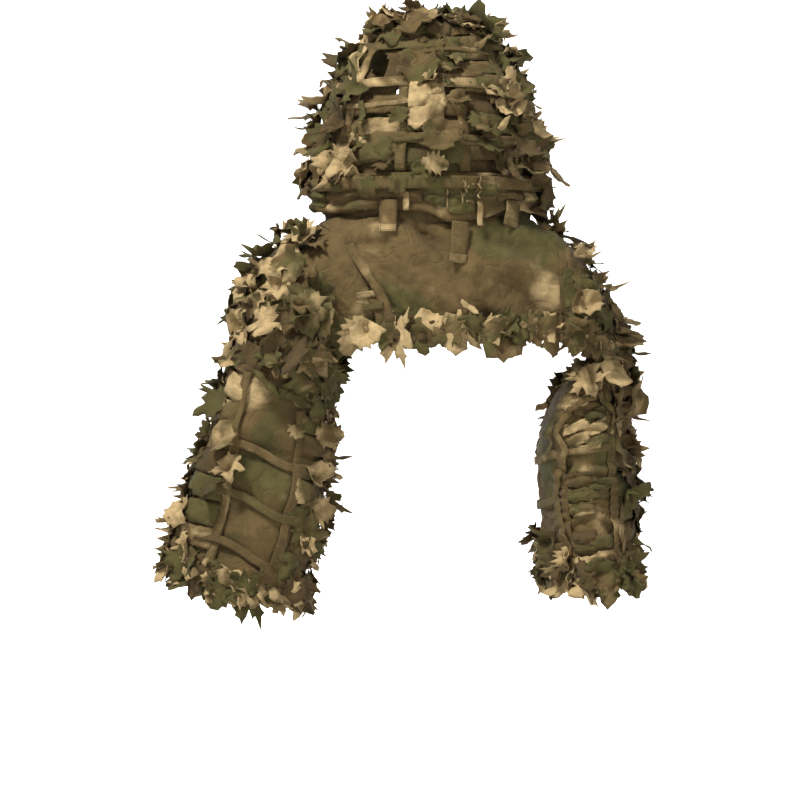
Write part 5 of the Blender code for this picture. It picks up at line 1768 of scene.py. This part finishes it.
def tab(name, top, across, outward, length, tone):
    """Folded webbing with a sewn box at its top and a turned-back lower end."""
    build = Build()
    sewn = Build()
    top, across, outward = Vector(top), Vector(across), Vector(outward)
    down = (across.cross(outward) * -1).normalized()
    way = []
    for k in range(25):
        t = k / 24
        rise = 0.0009 * math.sin(t * 5.0) + 0.0010 * t
        way.append((top + down * (length * t) + outward * rise, outward))
    ribbon(build, way, TAB_WIDTH, tone, seed=len(name), crown=0.0006)
    hem = [(p + outward * 0.0017, n) for p, n in way[-6:]]
    ribbon(build, hem, TAB_WIDTH * 0.98, TAPE_TONES[2], seed=3.0, crown=0.0003)
    for side in (-1, 1):
        stitch_line(sewn, way[:9], side * STITCH_AT, *HEAVY_STITCH, 0.0016)
        stitch_line(sewn, way[-6:], side * STITCH_AT, *HEAVY_STITCH, 0.0030)
    for row, height in ((1, 0.0016), (8, 0.0016), (-2, 0.0032)):
        middle = way[row][0]
        line = [(middle + across * x, outward) for x in spread(-STITCH_AT, STITCH_AT, 9)]
        stitch_line(sewn, line, 0.0, *HEAVY_STITCH, height)
    piece = build.make(f"{name}_webbing", TAPE, CLOTH_THICKNESS)
    attach(piece, name, replaces=[name])
    attach(sewn.make(f"{name}_stitching", THREAD, 0.0), name)


for name, settings in TABS.items():
    tab(name, *settings)

STRAP_WIDTH = 0.025


def chest_strap(name, node, sign):
    """Ribbed webbing from the buckle to the chest panel, with a doubled and sewn end."""
    low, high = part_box(node)
    z = (low[2] + high[2]) / 2
    near, far = (low[0], high[0]) if sign > 0 else (high[0], low[0])
    y_near = min(low[1], high[1]) + 0.0008
    y_far = max(low[1], high[1]) - 0.0008
    way = []
    for k in range(49):
        t = k / 48
        x = near + (far - near) * t
        y = y_near + (y_far - y_near) * smooth(t) - 0.0006 * math.sin(t * 9.0)
        way.append((Vector((x, y, z + 0.0012 * math.sin(t * 5.0))), Vector((0.0, -1.0, 0.0))))
    build, sewn = Build(), Build()
    ribbon(build, way, STRAP_WIDTH, TAPE_TONES[0], seed=sign * 2.0)
    patch = [(p + n * 0.0018, n) for p, n in way[-9:]]
    ribbon(build, patch, STRAP_WIDTH * 0.98, TAPE_TONES[1], seed=sign * 5.0)
    for side in (-1, 1):
        stitch_line(sewn, way[-9:], side * STITCH_AT, *HEAVY_STITCH, 0.0032)
    return build.make(name, TAPE, STRAP_THICKNESS), sewn.make(f"{name}_stitching", THREAD, 0.0)


left_strap, left_sewn = chest_strap("chest_strap_webbing_left", "chest_strap_left", 1)
right_strap, right_sewn = chest_strap("chest_strap_webbing_right", "chest_strap_right", -1)
attach(left_strap, "yoke", replaces=["chest_strap_left"])
attach(left_sewn, "yoke")
for piece in (right_strap, right_sewn):
    attach(piece, "yoke")
    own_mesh(piece)
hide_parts("chest_strap_right")

for key, build in sewing.items():
    piece = build.make(f"{key}_stitching", THREAD, 0.0)
    attach(piece, "yoke", BENDS[key])
    tapes[key].append(piece)

FINISHES = {
    "buckle_socket": PLASTIC,
    "buckle_plug": PLASTIC,
    "drawcord_eyelet_left": METAL,
    "drawcord_eyelet_right": METAL,
}
for node, look in FINISHES.items():
    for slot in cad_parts[node].material_slots:
        slot.material = look

# ---------------------------------------------------------------- what each piece of cloth was cut to

on_front_left = [left_strap, left_sewn, front_leaves["left"]]
on_front_right = [right_strap, right_sewn, front_leaves["right"]]
on_hood = tapes["hood"] + leaves["hood"] + [hood_cells, nape_piece]
on_left = tapes["left"] + leaves["left"] + [left_cells, loops]
on_right = tapes["right"] + leaves["right"] + [right_cells, middle_cells]

# Each sheet: its flat size, how it is held, what holds it, its flat area where the cut is no rectangle, and
# what is on it
SHEETS = [
    (back_cloth, (0.39, 0.17), "hung", "collar", 0.060, tapes["yoke"] + leaves["yoke"]),
    (front_left_cloth, (0.18, 0.18), "hung", "collar", 0.030, on_front_left),
    (front_right_cloth, (0.20, 0.19), "hung", "collar", 0.037, on_front_right),
    (collar, (0.55, 0.037), "hung", "yoke_back", None, []),
    (skirt, (0.62, 0.063), "hung", "collar", None, [skirt_cells]),
    (hood, (0.62, 0.36), "draped", "collar", 0.181, on_hood),
    (left_cloth, (0.52, 0.50), "hung", "yoke_back", None, on_left),
    (right_cloth, (0.50, 0.435), "hung", "yoke_back", None, on_right),
]
for piece, flat, held, support, area, on_it in SHEETS:
    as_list(on_it)

# ---------------------------------------------------------------- floor, light and camera

FLOOR_Z = LOWEST.z - 0.42
scene = bpy.context.scene


def backdrop():
    """A pale floor that curves up into a wall behind the garment."""
    half, front, back, rise, bend = 9.0, 8.0, 6.8, 6.0, 1.6
    section = [Vector((0.0, front, 0.0)), Vector((0.0, -back + bend, 0.0))]
    for angle in spread(0.1, 1.57, 14):
        section.append(Vector((0.0, -back + bend - bend * math.sin(angle), bend - bend * math.cos(angle))))
    section.append(Vector((0.0, -back, rise)))
    build = Build()
    rows = [[p + Vector((x, 0.0, FLOOR_Z)) for x in spread(-half, half, 5)] for p in section]
    build.grid(rows, (0.0, 0.0, 0.0))
    look = Nodes("studio_paper")
    where = look.add("ShaderNodeTexCoord").outputs["Object"]
    paper = look.mix(look.noise(where, 3.0), (0.86, 0.86, 0.86), (0.90, 0.90, 0.90))
    look.put(look.shader, "Base Color", paper)
    look.put(look.shader, "Roughness", 0.9)
    made = build.make("studio_floor", look.material, 0.0)


backdrop()
world = bpy.data.worlds.new("studio_world")
world.use_nodes = True
world.node_tree.nodes["Background"].inputs["Color"].default_value = (1.0, 1.0, 1.0, 1.0)
world.node_tree.nodes["Background"].inputs["Strength"].default_value = 0.32
scene.world = world
scene.view_settings.view_transform = "Standard"


def area_light(name, place, target, size, power):
    light = bpy.data.lights.new(name, "AREA")
    light.shape = "SQUARE"
    light.size = size
    light.energy = power
    made = bpy.data.objects.new(name, light)
    made.location = place
    made.rotation_euler = (Vector(target) - Vector(place)).to_track_quat("-Z", "Y").to_euler()
    scene.collection.objects.link(made)
    return light


MIDDLE = (0.04, 0.0, -0.12)
area_light("key_light", (1.35, 1.75, 2.75), MIDDLE, size=0.7, power=172.0)
area_light("fill_light", (-1.6, 3.0, 0.6), MIDDLE, size=1.2, power=22.0)
area_light("front_light", (0.6, -2.4, 1.9), MIDDLE, size=1.2, power=40.0)
for side in (-1, 1):
    wall_spot = (0.6 * side, -6.8, -0.2)
    area_light(f"wall_light_{side}", (3.4 * side, -4.6, 1.2), wall_spot, size=1.6, power=230.0)
floor_light = area_light("floor_light", (0.0, -3.4, 3.2), (0.0, -3.6, -1.0), size=1.6, power=260.0)
floor_light.spread = 1.2

AIM_POINT = Vector((0.040, 0.0, -0.252))
CAMERA_DISTANCE = 4.0
camera = bpy.data.objects.new("camera", bpy.data.cameras.new("camera"))
camera.data.lens = 125.0
camera.data.sensor_width = 36.0
camera.location = AIM_POINT + Vector((0.0, CAMERA_DISTANCE, 0.0))
camera.rotation_euler = (AIM_POINT - camera.location).to_track_quat("-Z", "Y").to_euler()
scene.collection.objects.link(camera)
scene.camera = camera
